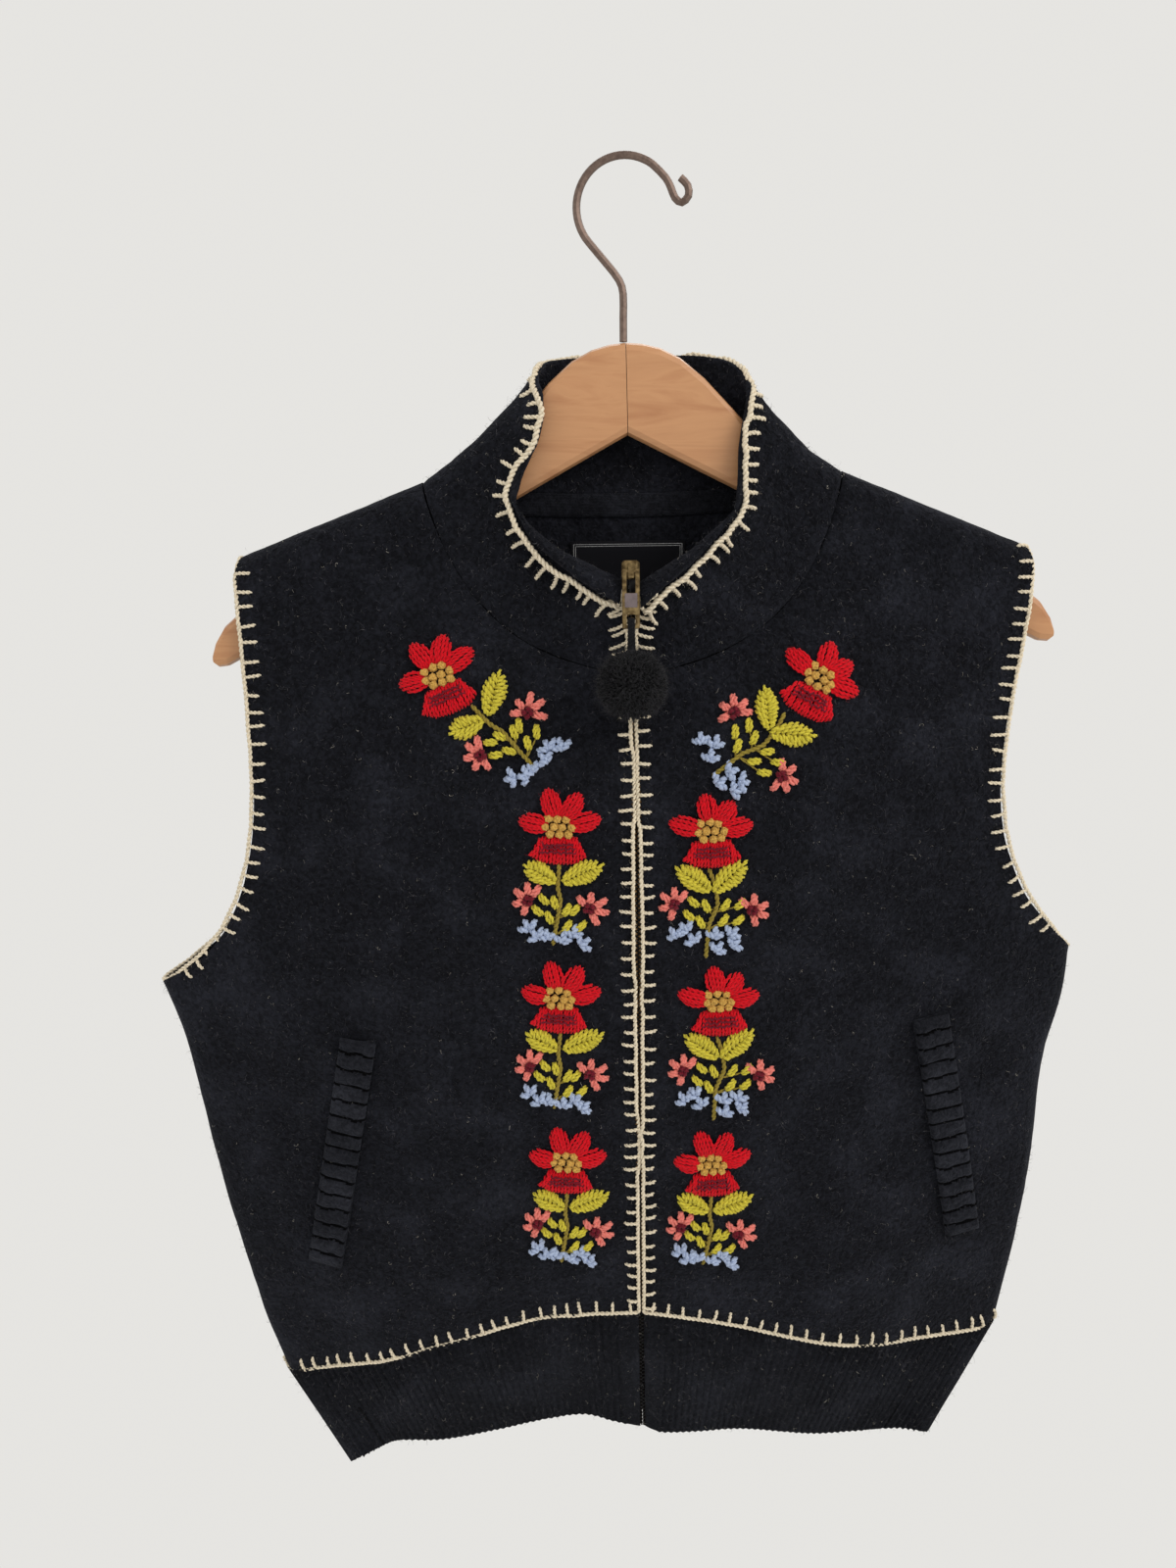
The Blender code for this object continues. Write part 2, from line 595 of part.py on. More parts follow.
def pocket_welt(side, tree):
    corners = {k: np.array(v, float) for k, v in POCKET[side].items()}
    stations = 2 * POCKET_RIBS + 1
    columns = 3
    outer = np.zeros((stations, columns, 3))
    inner = np.zeros((stations, columns, 3))
    for r in range(stations):
        t = r / (stations - 1)
        a = corners["top_in"] * (1 - t) + corners["low_in"] * t
        b = corners["top_out"] * (1 - t) + corners["low_out"] * t
        for c in range(columns):
            x, z = a + (b - a) * c / (columns - 1)
            rib = POCKET_RIB_RISE if r % 2 and c == 1 else POCKET_RIB_RISE * 0.6 if r % 2 else 0
            inner[r, c] = on_panel(tree, x, z, LIFT)
            outer[r, c] = on_panel(tree, x, z, LIFT + POCKET_THICK + rib)
    return wall("pocket_welt_" + side, outer, inner, "black_rib")


def bloom_reach(angle):
    """The flower head's outline: four fanned petals above a wide lower one."""
    reach = BLOOM_CORE
    for lobe in BLOOM_LOBES:
        off = abs((angle - lobe["angle"] + 180) % 360 - 180) / lobe["half_width"]
        if off < 1:
            reach = max(reach, BLOOM_CORE + lobe["reach"] * (1 - off ** 2.4) ** 0.6)
    return reach


def bloom(name, place, tree):
    """A low crowned disc with the flower's outline, laid on a front."""
    angles = [k * 360 / BLOOM_SECTORS for k in range(BLOOM_SECTORS)]
    shares, heights = BLOOM_HEIGHTS["share"], BLOOM_HEIGHTS["height"]
    points = [on_panel(tree, place["x"], place["z"], LIFT + heights[0])]
    for ring, height in zip(shares[1:], heights[1:]):
        for angle in angles:
            turned = math.radians(angle + place["turn"])
            reach = bloom_reach(angle) * ring * place["size"]
            x = place["x"] + reach * math.cos(turned)
            z = place["z"] + reach * math.sin(turned)
            points.append(on_panel(tree, x, z, LIFT + height))
    points.append(on_panel(tree, place["x"], place["z"], LIFT))
    n = BLOOM_SECTORS
    faces = []
    for k in range(n):
        after = (k + 1) % n
        faces.append((0, 1 + k, 1 + after))
        for ring in range(len(shares) - 2):
            a = 1 + ring * n
            faces.append((a + k, a + n + k, a + n + after, a + after))
        last = 1 + (len(shares) - 2) * n
        faces.append((last + k, len(points) - 1, last + after))
    return solid(name, points, faces, "red_wool")


def neck_label(tree_inside):
    columns, rows = 7, 3
    outer = np.zeros((rows, columns, 3))
    inner = np.zeros((rows, columns, 3))
    for r in range(rows):
        for c in range(columns):
            x = LABEL["x"] + LABEL["width"] * (c / (columns - 1) - 0.5)
            z = LABEL["z"] + LABEL["height"] * (0.5 - r / (rows - 1))
            inner[r, c] = on_panel(tree_inside, x, z, LIFT)
            outer[r, c] = on_panel(tree_inside, x, z, LIFT + LABEL["thick"])
    return wall("neck_label", outer, inner, "label_satin")


# Zip

def zip_half(side, outer_line, inner_line):
    """One tape with its bead, swept along the zip edge from the hem to the collar's crest."""
    sign = -1 if side == "left" else 1
    points, faces = [], []
    for number, (out, into) in enumerate(zip(outer_line, inner_line)):
        in_collar = number >= len(outer_line) - COLLAR_CREST - 1
        width = COLLAR_TAPE_WIDTH if in_collar else TAPE_WIDTH
        normal = into - out
        normal[0] = 0
        thick = np.linalg.norm(normal)
        normal /= thick
        middle = np.array([centre_x(out[2]), out[1], out[2]])
        back, front = thick + LIFT, BEAD_SET_BACK
        section = [(BEAD_IN, front), (BEAD_OUT, front), (BEAD_OUT, back), (width, back),
                   (width, back + TAPE_THICK), (BEAD_IN, back + TAPE_THICK)]
        for across, deep in section:
            points.append(middle + np.array([sign * across, 0, 0]) + normal * deep)
    n = 6
    for k in range(len(outer_line) - 1):
        for c in range(n):
            a, b = k * n + c, k * n + (c + 1) % n
            faces.append((a, b, b + n, a + n))
    faces.append(tuple(range(n)))
    faces.append(tuple(range(len(points) - n, len(points))))
    return solid("zip_" + side, points, faces, "zip_tape")


def tube(points, radius, sides):
    """The points and faces of a closed round tube along a row of points."""
    path = np.array(points, float)
    along = np.gradient(path, axis=0)
    along /= np.linalg.norm(along, axis=1)[:, None]
    made, faces = [], []
    side = np.cross(along[0], (0, 1, 0.02))
    for place, direction in zip(path, along):
        side = side - np.dot(side, direction) * direction
        side /= np.linalg.norm(side)
        up = np.cross(direction, side)
        for k in range(sides):
            a = 2 * math.pi * k / sides
            made.append(place + radius * (math.cos(a) * side + math.sin(a) * up))
    for k in range(len(path) - 1):
        for c in range(sides):
            a, b = k * sides + c, k * sides + (c + 1) % sides
            faces.append((a, b, b + sides, a + sides))
    faces.append(tuple(range(sides)))
    faces.append(tuple(range(len(made) - sides, len(made))))
    return made, faces


def block(name, low, high, finish="antique_brass", bevel=0.0):
    """A box between two corners in millimetres, with its edges rounded a little."""
    mesh = bpy.data.meshes.new(name)
    work = bmesh.new()
    bmesh.ops.create_cube(work, size=1)
    low, high = np.array(low, float), np.array(high, float)
    for vertex in work.verts:
        vertex.co = Vector((low + (np.array(vertex.co) + 0.5) * (high - low)) * MM)
    if bevel:
        bmesh.ops.bevel(work, geom=work.edges[:], offset=bevel * MM, segments=1, affect="EDGES")
    work.to_mesh(mesh)
    work.free()
    made = bpy.data.objects.new(name, mesh)
    mesh.materials.append(material(finish))
    bpy.context.scene.collection.objects.link(made)
    return made


def combine(base, others, operation):
    """Joins or cuts a block with others by Boolean modifiers; the others stay as guides."""
    for k, other in enumerate(others):
        other.hide_render = True
        other.display_type = "WIRE"
        step = base.modifiers.new(f"{operation.lower()}_{k}", "BOOLEAN")
        step.operation = operation
        step.solver = "EXACT"
        step.object = other
    return base


def slider_and_pull(top):
    """The slider over the zip's upper end, and the pull tab that hangs from its bail."""
    x, y, z = top
    w, h, d = SLIDER["half_width"], SLIDER["height"], SLIDER["depth"]
    bottom = z + SEAM + SLIDER["above"]
    y -= SLIDER["forward"]
    body = block("zip_slider", (x - w, y - d / 2, bottom), (x + w, y + d / 2, bottom + h), bevel=1.2)
    front = y - d / 2
    bail = [
        block("bail_low", (x - 1.3, front - 4.2, bottom + 1.0), (x + 1.3, front + 1.0, bottom + 2.4)),
        block("bail_high", (x - 1.3, front - 4.2, bottom + 6.2), (x + 1.3, front + 1.0, bottom + 7.6)),
        block("bail_face", (x - 1.3, front - 4.3, bottom + 0.9), (x + 1.3, front - 3.0, bottom + 7.7)),
    ]
    combine(body, bail, "UNION")
    axis = np.array([x, front - 1.5, bottom + 4.2])
    pw, length, thick, bar = PULL["half_width"], PULL["length"], PULL["thick"], PULL["bar"]
    top_z, low_z = axis[2] + bar / 2, axis[2] + bar / 2 - length
    face, rear = axis[1] - thick / 2, axis[1] + thick / 2
    pull = block("zip_pull", (x - pw, face, low_z), (x + pw, rear, top_z), bevel=0.35)
    windows = [
        block("window_high", (x - 2.2, face - 2, top_z - 11.5), (x + 2.2, rear + 2, top_z - bar)),
        block("window_low", (x - 2.2, face - 2, low_z + 1.8), (x + 2.2, rear + 2, low_z + 7.0)),
    ]
    combine(pull, windows, "DIFFERENCE")
    for part in [pull] + windows:
        part.data.transform(Matrix.Translation(Vector(-axis * MM)))
        part.location = axis * MM
    return axis, low_z


def pull_cord_and_pompom(axis, low_z, tree):
    """The cord through the pull's lower slot and the pompom that hangs on it."""
    x = axis[0]
    centre_z = low_z - 7.5 - POMPOM_RADIUS
    rest = on_panel(tree, x + 14, centre_z, 0)[1]
    centre = np.array([x, min(axis[1], rest - POMPOM_RADIUS - SEAM), centre_z])
    crown_y, crown_z = centre[1], centre_z + POMPOM_CORE + SEAM
    front = axis[1] - PULL["thick"] / 2 - CORD_RADIUS - 0.6
    path = spline([(x, axis[1] + 1.2, low_z + 4.4), (x, axis[1] - 1.2, low_z + 4.2),
                   (x, front, low_z + 1.4), (x, front, low_z - 2.5),
                   (x, (front + crown_y) / 2, low_z - 6.5), (x, crown_y, crown_z)], 2)
    points, faces = tube(path, CORD_RADIUS, 8)
    cord = solid("pull_cord", points, faces, "black_yarn", origin=axis)
    work = bmesh.new()
    bmesh.ops.create_icosphere(work, subdivisions=3, radius=POMPOM_CORE)
    work.faces.ensure_lookup_table()
    rng = np.random.default_rng(7)
    upward = [f for f in work.faces if f.calc_center_median().normalized().z < 0.8]
    chosen = [upward[i] for i in sorted(rng.choice(len(upward), POMPOM_STRANDS, replace=False))]
    strands = bmesh.ops.extrude_discrete_faces(work, faces=chosen)["faces"]
    for face in strands:
        middle = face.calc_center_median()
        away = middle.normalized()
        reach = POMPOM_RADIUS - POMPOM_CORE - rng.uniform(0, 1.6)
        for vertex in face.verts:
            vertex.co = middle + (vertex.co - middle) * 0.55 + away * reach
    points = [np.array(v.co) + centre for v in work.verts]
    faces = [tuple(v.index for v in f.verts) for f in work.faces]
    work.free()
    pompom = solid("pompom", points, faces, "black_yarn", origin=axis)
    return cord, pompom


# Hanger

def tilted(x, z):
    """A point of the wood, turned about its upper middle by the hanger's tilt."""
    turn = math.radians(HANGER_TILT)
    below = z - WOOD_TOP["z"][0]
    across = x * math.cos(turn) - below * math.sin(turn)
    return across, WOOD_TOP["z"][0] + x * math.sin(turn) + below * math.cos(turn)


def hanger_wood(side):
    """One arm of the flat hanger, from the glued middle to the tip."""
    sign = -1 if side == "left" else 1
    stations = [SEAM / 2] + WOOD_TOP["x"][1:]
    half = WOOD_THICK / 2
    points, faces = [], []
    for x in stations:
        high = read(WOOD_TOP, "x", "z", x)
        low = read(WOOD_BOTTOM, "x", "z", x)
        round_top = min(WOOD_ROUND, (high - low) / 2.6)
        section = []
        for corner_y, corner_z, start in ((half, high, 0), (-half, high, 90), (-half, low, 180),
                                          (half, low, 270)):
            for step in (0, 45, 90):
                a = math.radians(start + step)
                cy = corner_y - math.copysign(round_top, corner_y)
                cz = corner_z - math.copysign(round_top, 1 if corner_z == high else -1)
                section.append((cy + round_top * math.cos(a), cz + round_top * math.sin(a)))
        for y, z in section:
            px, pz = tilted(sign * x, z)
            points.append((px, y, pz))
    n = 12
    for k in range(len(stations) - 1):
        for c in range(n):
            a, b = k * n + c, k * n + (c + 1) % n
            faces.append((a, b, b + n, a + n))
    faces.append(tuple(range(n)))
    faces.append(tuple(range(len(points) - n, len(points))))
    return solid("hanger_wood_" + side, points, faces, "beech")


def hanger_hook():
    """The wire hook: a shank, most of a circle and a small curl at the open end."""
    centre_z = HOOK_WIRE / 2 - HOOK_RADIUS
    arc = []
    for degrees in range(222, 42, -12):
        a = math.radians(degrees)
        arc.append((HOOK_RADIUS * math.cos(a), centre_z + HOOK_RADIUS * math.sin(a)))
    flat = spline(HOOK_SHANK + arc + HOOK_TIP, 2)
    points, faces = tube([(x, 0, z) for x, z in flat], HOOK_WIRE / 2, 8)
    return solid("hanger_hook", points, faces, "bronze_wire")


def clear_scene():
    for old in list(bpy.data.objects):
        bpy.data.objects.remove(old, do_unlink=True)


def build():
    clear_scene()
    fronts = {side: front_panel(side) for side in ("left", "right")}
    back = back_panel()
    for side, (outer, inner) in fronts.items():
        wall("front_" + side, outer, inner, "black_wool")
    wall("back", back[0], back[1], "black_wool")
    collar_outer, collar_inner = collar(fronts, back)
    wall("collar", collar_outer, collar_inner, "black_wool")

    trees = {side: surface(fronts[side][0]) for side in fronts}
    for side, sign in (("left", -1), ("right", 1)):
        outer, inner = fronts[side]
        hem = OUTLINE[side]["front_hem"]
        middle_x = centre_x(hem[0][1]) + sign * zip_gap(hem[0][1]) / 2
        hem = [(middle_x, hem[0][1])] + list(hem[1:])
        _, band_outer, band_inner = band(
            "band_" + side, outer[-1], inner[-1], hem_line(hem, -1, 10, 7), PLACKET, 0)
        end = 0 if side == "left" else -1
        rows = list(range(PANEL_ROWS, NECK_ROWS, -2)) + [NECK_ROWS]
        zip_outer = [band_outer[1, 0], band_outer[0, 0]] + [outer[r, 0] for r in rows]
        zip_inner = [band_inner[1, 0], band_inner[0, 0]] + [inner[r, 0] for r in rows]
        zip_outer += [collar_outer[j, end] for j in range(1, COLLAR_CREST + 1)]
        zip_inner += [collar_inner[j, end] for j in range(1, COLLAR_CREST + 1)]
        zip_half(side, zip_outer, zip_inner)
        pocket_welt(side, trees[side])
        for number, place in enumerate(BLOOMS[side], 1):
            bloom(f"bloom_{side}_{number}", place, trees[side])

    left_low, right_low = OUTLINE["left"]["front_hem"][-1], OUTLINE["right"]["front_hem"][-1]
    back_hem = []
    for t in np.linspace(0, 1, 9):
        x = left_low[0] + t * (right_low[0] - left_low[0])
        z = left_low[1] + t * (right_low[1] - left_low[1])
        back_hem.append((x, z + BACK_HEM_RISE * (1 - (2 * t - 1) ** 2)))
    band("band_back", back[0][-1], back[1][-1], hem_line(back_hem, 1, 10, 5), 0, 0)
    neck_label(surface(back[1]))

    top = (collar_outer[COLLAR_CREST, 0] + collar_outer[COLLAR_CREST, -1]) / 2
    axis, low_z = slider_and_pull(top)
    pull_cord_and_pompom(axis, low_z, trees["right"])
    hanger_wood("left")
    hanger_wood("right")
    hanger_hook()


build()
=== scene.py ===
# %% [markdown]
# # An embroidered wool vest on a wooden hanger
# The vest is boiled wool: thick, matt and a little hairy, with a ribbed waistband, a zip and eight
# sprigs worked in thick crewel yarn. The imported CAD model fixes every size. This script dresses it:
# each soft solid is replaced by a rounder shell on the same form, and the yarn, the zip's teeth and
# the wool fibre are laid on those shells.

# %% Tools
import heapq
import math

import bmesh
import bpy
import numpy as np
from mathutils import Matrix, Vector, noise
from mathutils.bvhtree import BVHTree


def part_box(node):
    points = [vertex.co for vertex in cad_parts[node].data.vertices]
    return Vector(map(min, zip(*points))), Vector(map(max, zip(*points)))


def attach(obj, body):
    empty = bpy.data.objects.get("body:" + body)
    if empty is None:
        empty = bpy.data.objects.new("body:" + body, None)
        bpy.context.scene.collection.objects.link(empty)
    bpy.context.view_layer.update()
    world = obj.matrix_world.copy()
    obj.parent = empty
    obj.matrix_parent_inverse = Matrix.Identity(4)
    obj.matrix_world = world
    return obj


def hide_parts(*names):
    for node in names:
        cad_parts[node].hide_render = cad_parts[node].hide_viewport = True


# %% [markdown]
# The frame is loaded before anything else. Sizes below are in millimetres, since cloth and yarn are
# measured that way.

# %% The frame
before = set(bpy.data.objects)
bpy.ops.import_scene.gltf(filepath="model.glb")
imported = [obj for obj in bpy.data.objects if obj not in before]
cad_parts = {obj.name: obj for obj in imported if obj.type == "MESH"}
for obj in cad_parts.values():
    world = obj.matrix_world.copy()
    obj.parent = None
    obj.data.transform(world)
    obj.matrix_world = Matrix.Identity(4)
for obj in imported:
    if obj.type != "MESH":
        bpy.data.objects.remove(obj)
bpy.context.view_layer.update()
MM = 0.001
chance = np.random.default_rng(41)
scene = bpy.context.scene

# %% [markdown]
# ## Camera
# The photograph is an upright phone picture, taken a little above the chest and tilted down. A real
# camera leans a degree or so, and this one does too. It could be aimed by a constraint, but a place
# and two angles are easier to fit to a picture, and nothing has to be updated later.

# %% Camera
LENS = 27.05
CAMERA_PLACE = (-0.0215, -0.62, -0.171)
CAMERA_DOWN = 12.5
CAMERA_LEAN = -0.75
camera_data = bpy.data.cameras.new("camera")
camera_data.lens = LENS
camera_data.sensor_width = 36
camera_data.clip_start = 0.01
camera = bpy.data.objects.new("camera", camera_data)
scene.collection.objects.link(camera)
camera.matrix_world = (Matrix.Translation(CAMERA_PLACE)
                       @ Matrix.Rotation(math.radians(90 - CAMERA_DOWN), 4, "X")
                       @ Matrix.Rotation(math.radians(CAMERA_LEAN), 4, "Z"))
scene.camera = camera
print("camera", LENS, "mm at", CAMERA_PLACE)

# %% [markdown]
# ## Light
# Black wool shows its form only by soft light from the side, so one large lamp stands high on the
# right and a weaker one on the left, and the pale surroundings fill in the rest. A sky would light it
# too, but area lamps keep their colour near white. The floor lies far below, as under a hung garment.

# %% Floor, lamps and surroundings
FLOOR_HEIGHT = -1.35


def plain_plane(name, size, place):
    """A flat square that lies level."""
    mesh = bpy.data.meshes.new(name)
    half = size / 2
    mesh.from_pydata([(-half, -half, 0), (half, -half, 0), (half, half, 0), (-half, half, 0)], [],
                     [(0, 1, 2, 3)])
    made = bpy.data.objects.new(name, mesh)
    made.location = place
    scene.collection.objects.link(made)
    return made


def lamp(name, place, aim, size, power, colour):
    """A large soft lamp that points at a place."""
    data = bpy.data.lights.new(name, "AREA")
    data.size = size
    data.energy = power
    data.color = colour
    made = bpy.data.objects.new(name, data)
    made.location = place
    made.rotation_euler = (Vector(aim) - Vector(place)).to_track_quat("-Z", "Y").to_euler()
    scene.collection.objects.link(made)


floor = plain_plane("floor", 1.0, (0, 0, FLOOR_HEIGHT))
CHEST = (0, 0, -0.4)
lamp("key", (1.2, -1.1, 0.7), CHEST, 1.0, 13, (1.0, 0.98, 0.96))
lamp("fill", (-1.4, -1.1, 0.1), CHEST, 1.2, 1.5, (0.95, 0.98, 1.0))
lamp("rear", (0.4, 1.4, 0.8), CHEST, 1.2, 8, (1.0, 0.98, 0.95))
world = bpy.data.worlds.new("pale_room")
world.use_nodes = True
world.node_tree.nodes["Background"].inputs["Color"].default_value = (0.79, 0.78, 0.755, 1)
world.node_tree.nodes["Background"].inputs["Strength"].default_value = 1.0
scene.world = world
scene.view_settings.view_transform = "Standard"

# %% [markdown]
# ## Finishes
# Every finish is made of nodes. Two patterns do most of the work: a fine noise that mixes two tones
# of the same dye, and another that raises the surface a little, as fibre or grain does. The scale of
# each pattern is set in repeats a metre.

# %% Colours as a screen shows them


def tone(red, green, blue):
    """A colour read from 0 to 255 on a screen, as the renderer's own numbers."""
    def one(value):
        value /= 255
        return value / 12.92 if value <= 0.04045 else ((value + 0.055) / 1.055) ** 2.4
    return one(red), one(green), one(blue), 1.0


# %% [markdown]
# A finish could be a stack of node groups. Here it is one Principled shader and a few short methods
# that add a noise, a wave, colours that follow them, and relief, so each finish reads as a sentence.

# %% The finish maker


class Finish:
    """A Principled material and short ways to add patterns to it."""

    def __init__(self, name, roughness, **sockets):
        self.material = bpy.data.materials.new(name)
        self.material.use_nodes = True
        self.tree = self.material.node_tree
        self.shader = self.tree.nodes["Principled BSDF"]
        self.shader.inputs["Roughness"].default_value = roughness
        for socket, value in sockets.items():
            self.shader.inputs[socket.replace("_", " ")].default_value = value
        self.place = self.tree.nodes.new("ShaderNodeTexCoord").outputs["Object"]
        self.height = None

    def stretched(self, scale, turn=(0, 0, 0)):
        """The place, stretched so that a pattern runs one way."""
        node = self.tree.nodes.new("ShaderNodeMapping")
        node.inputs["Scale"].default_value = scale
        node.inputs["Rotation"].default_value = turn
        self.tree.links.new(self.place, node.inputs["Vector"])
        return node.outputs["Vector"]

    def noise(self, repeats, detail=3, place=None, distortion=0.0):
        node = self.tree.nodes.new("ShaderNodeTexNoise")
        node.inputs["Scale"].default_value = repeats
        node.inputs["Detail"].default_value = detail
        node.inputs["Distortion"].default_value = distortion
        self.tree.links.new(place or self.place, node.inputs["Vector"])
        return node.outputs["Fac"]

    def wave(self, repeats, direction="X", distortion=0.0, detail=2, place=None):
        node = self.tree.nodes.new("ShaderNodeTexWave")
        node.bands_direction = direction
        node.inputs["Scale"].default_value = repeats
        node.inputs["Distortion"].default_value = distortion
        node.inputs["Detail"].default_value = detail
        self.tree.links.new(place or self.place, node.inputs["Vector"])
        return node.outputs["Fac"]

    def colours(self, pattern, *stops):
        """Colours by a pattern: each stop is (place from 0 to 1, colour)."""
        node = self.tree.nodes.new("ShaderNodeValToRGB")
        ramp = node.color_ramp
        while len(ramp.elements) < len(stops):
            ramp.elements.new(0.5)
        for element, (place, colour) in zip(ramp.elements, stops):
            element.position = place
            element.color = colour
        self.tree.links.new(pattern, node.inputs["Fac"])
        return node.outputs["Color"]

    def mixed(self, share, one, two):
        """Two colours mixed by a pattern."""
        node = self.tree.nodes.new("ShaderNodeMix")
        node.data_type = "RGBA"
        colour_a, colour_b = [i for i in node.inputs if i.type == "RGBA"]
        self.tree.links.new(share, node.inputs["Factor"])
        self.tree.links.new(one, colour_a)
        self.tree.links.new(two, colour_b)
        return next(o for o in node.outputs if o.type == "RGBA")

    def paint(self, colour):
        self.tree.links.new(colour, self.shader.inputs["Base Color"])
        return self

    def rough(self, pattern, low, high):
        """Roughness that follows a pattern."""
        node = self.tree.nodes.new("ShaderNodeMapRange")
        node.inputs["To Min"].default_value = low
        node.inputs["To Max"].default_value = high
        self.tree.links.new(pattern, node.inputs["Value"])
        self.tree.links.new(node.outputs["Result"], self.shader.inputs["Roughness"])
        return self

    def raised(self, pattern, rise):
        """Relief from a pattern; rise is in millimetres."""
        node = self.tree.nodes.new("ShaderNodeBump")
        node.inputs["Distance"].default_value = rise * MM
        self.tree.links.new(pattern, node.inputs["Height"])
        if self.height:
            self.tree.links.new(self.height, node.inputs["Normal"])
        self.height = node.outputs["Normal"]
        self.tree.links.new(self.height, self.shader.inputs["Normal"])
        return self


# %% [markdown]
# Most small finishes need only two tones that follow a noise. A woven one needs a fine wave, which
# gives its threads both their colour and their relief.

# %% Two short recipes


def two_tones(name, roughness, repeats, detail, low, high, **sockets):
    """A finish whose colour follows a noise; low and high are (place, colour)."""
    made = Finish(name, roughness, **sockets)
    return made.paint(made.colours(made.noise(repeats, detail), low, high))


def woven(name, roughness, repeats, distortion, low, high, rise, **sockets):
    """Threads across the cloth, raised by the same wave that colours them."""
    made = Finish(name, roughness, **sockets)
    threads = made.wave(repeats, "Z", distortion)
    return made.paint(made.colours(threads, low, high)).raised(threads, rise)


# %% [markdown]
# Boiled wool is knitted cloth that was washed hot until the loops matted. What is left to see are
# small clumps about two millimetres wide and a haze of fibre, so the finish is very rough, with some
# sheen for the haze. The rib keeps its loops, so it gets a fine stripe across each rib. Black cloth
# shows ribs by their shade more than by light, so the rib also has lit and shaded copies of its
# finish: a lighter one is painted light on rib crests, and two darker ones are painted shade in the
# valleys and in dark gaps.

# %% Wool finishes


def wool_cloth(name, dark, light, sheen):
    made = Finish(name, 0.96, Sheen_Weight=sheen, Sheen_Roughness=0.6, Specular_IOR_Level=0.08,
                  Sheen_Tint=(0.75, 0.8, 1.0, 1))
    clumps = made.noise(430, 6, distortion=0.8)
    patches = made.noise(34, 4)
    tones = made.colours(clumps, (0.38, dark), (0.66, light))
    worn = made.colours(clumps, (0.36, light), (0.7, tuple(2.6 * c for c in light[:3]) + (1,)))
    fade = made.colours(patches, (0.45, (0, 0, 0, 1)), (0.75, (0.8, 0.8, 0.8, 1)))
    ground = made.mixed(fade, tones, worn)
    flecks = made.noise(1500, 2, distortion=1.5)
    fleck_share = made.colours(flecks, (0.69, (0, 0, 0, 1)), (0.78, (0.6, 0.6, 0.6, 1)))
    fleck_tone = made.colours(flecks, (0.6, (0.03, 0.03, 0.033, 1)), (0.8, (0.12, 0.115, 0.11, 1)))
    made.paint(made.mixed(fleck_share, ground, fleck_tone))
    made.raised(made.noise(240, 5, distortion=0.8), 2.2).raised(clumps, 1.2)
    return made


WOOLS = {                   # dark tone, light tone, sheen
    "black_boiled_wool": ((0.0022, 0.0023, 0.0034), (0.0086, 0.0092, 0.0128), 0.035),
    "black_rib_knit": ((0.0024, 0.0025, 0.0036), (0.0098, 0.0104, 0.014), 0.04),
    # the next three are lit and shaded copies of the rib: painted light on crests, painted shade below
    "rib_knit_crest_painted_light": ((0.005, 0.0053, 0.0074), (0.0135, 0.0142, 0.0185), 0.05),
    "rib_knit_shade": ((0.0008, 0.0008, 0.0012), (0.0034, 0.0036, 0.005), 0.01),
    "rib_knit_painted_deep_shade": ((0.0006, 0.0006, 0.0009), (0.0018, 0.0018, 0.0025), 0.0),
}
black_felt, black_rib, rib_crest_painted_light, rib_shade, painted_deep_shade_wool = (
    wool_cloth(name, dark + (1,), light + (1,), sheen)
    for name, (dark, light, sheen) in WOOLS.items())
black_rib.raised(black_rib.wave(420, "Z", 1.5), 0.35)
print("wool finishes", list(WOOLS))

# %% [markdown]
# The yarn is dyed in nine colours. A strand is darker where its fibres shade each other, so each
# finish runs from a deep tone of the dye to a pale one.

# %% Yarn finishes


def yarn_finish(name, colour, sheen=0.08):
    made = Finish(name, 0.88, Sheen_Weight=sheen, Sheen_Roughness=0.5, Specular_IOR_Level=0.2)
    deep = tuple(0.62 * c for c in colour[:3]) + (1,)
    pale = tuple(min(1, 1.22 * c) for c in colour[:3]) + (1,)
    made.paint(made.colours(made.noise(900, 4), (0.25, deep), (0.5, colour), (0.8, pale)))
    made.raised(made.noise(2600, 3), 0.25)
    return made


YARNS = {
    "cream": tone(228, 215, 190),
    "red": tone(212, 4, 26),
    "burgundy": tone(112, 18, 36),
    "mustard": tone(206, 162, 80),
    "leaf": tone(206, 192, 62),
    "olive": tone(146, 128, 50),
    "salmon": tone(230, 128, 116),
    "blue": tone(170, 184, 212),
    "black": tone(17, 17, 20),
}
yarn_finishes = {name: yarn_finish(name + "_yarn", colour) for name, colour in YARNS.items()}
print("finishes", len(bpy.data.materials))

# %% [markdown]
# The hard parts are beech, bronze wire and antique brass. Beech has short dark flecks along a grain
# that follows each arm, and the metals are worn brighter in patches.

# %% Wood, metal and woven finishes


def beech(name, slope):
    made = Finish(name, 0.42, Coat_Weight=0.25, Coat_Roughness=0.3, Specular_IOR_Level=0.4)
    along = made.stretched((9, 60, 60), (0, math.radians(slope), 0))
    fleck_place = made.stretched((90, 700, 700), (0, math.radians(slope), 0))
    grain = made.noise(1.6, 5, along, 1.2)
    flecks = made.noise(1.0, 3, fleck_place)
    ground = made.colours(grain, (0.3, tone(184, 132, 90)), (0.5, tone(194, 142, 98)),
                          (0.72, tone(174, 119, 78)))
    dark = made.colours(flecks, (0.55, tone(198, 145, 98)), (0.8, tone(160, 105, 64)))
    share = made.colours(flecks, (0.6, (0, 0, 0, 1)), (0.75, (0.5, 0.5, 0.5, 1)))
    made.paint(made.mixed(share, ground, dark))
    made.rough(grain, 0.36, 0.5).raised(flecks, 0.04)
    return made


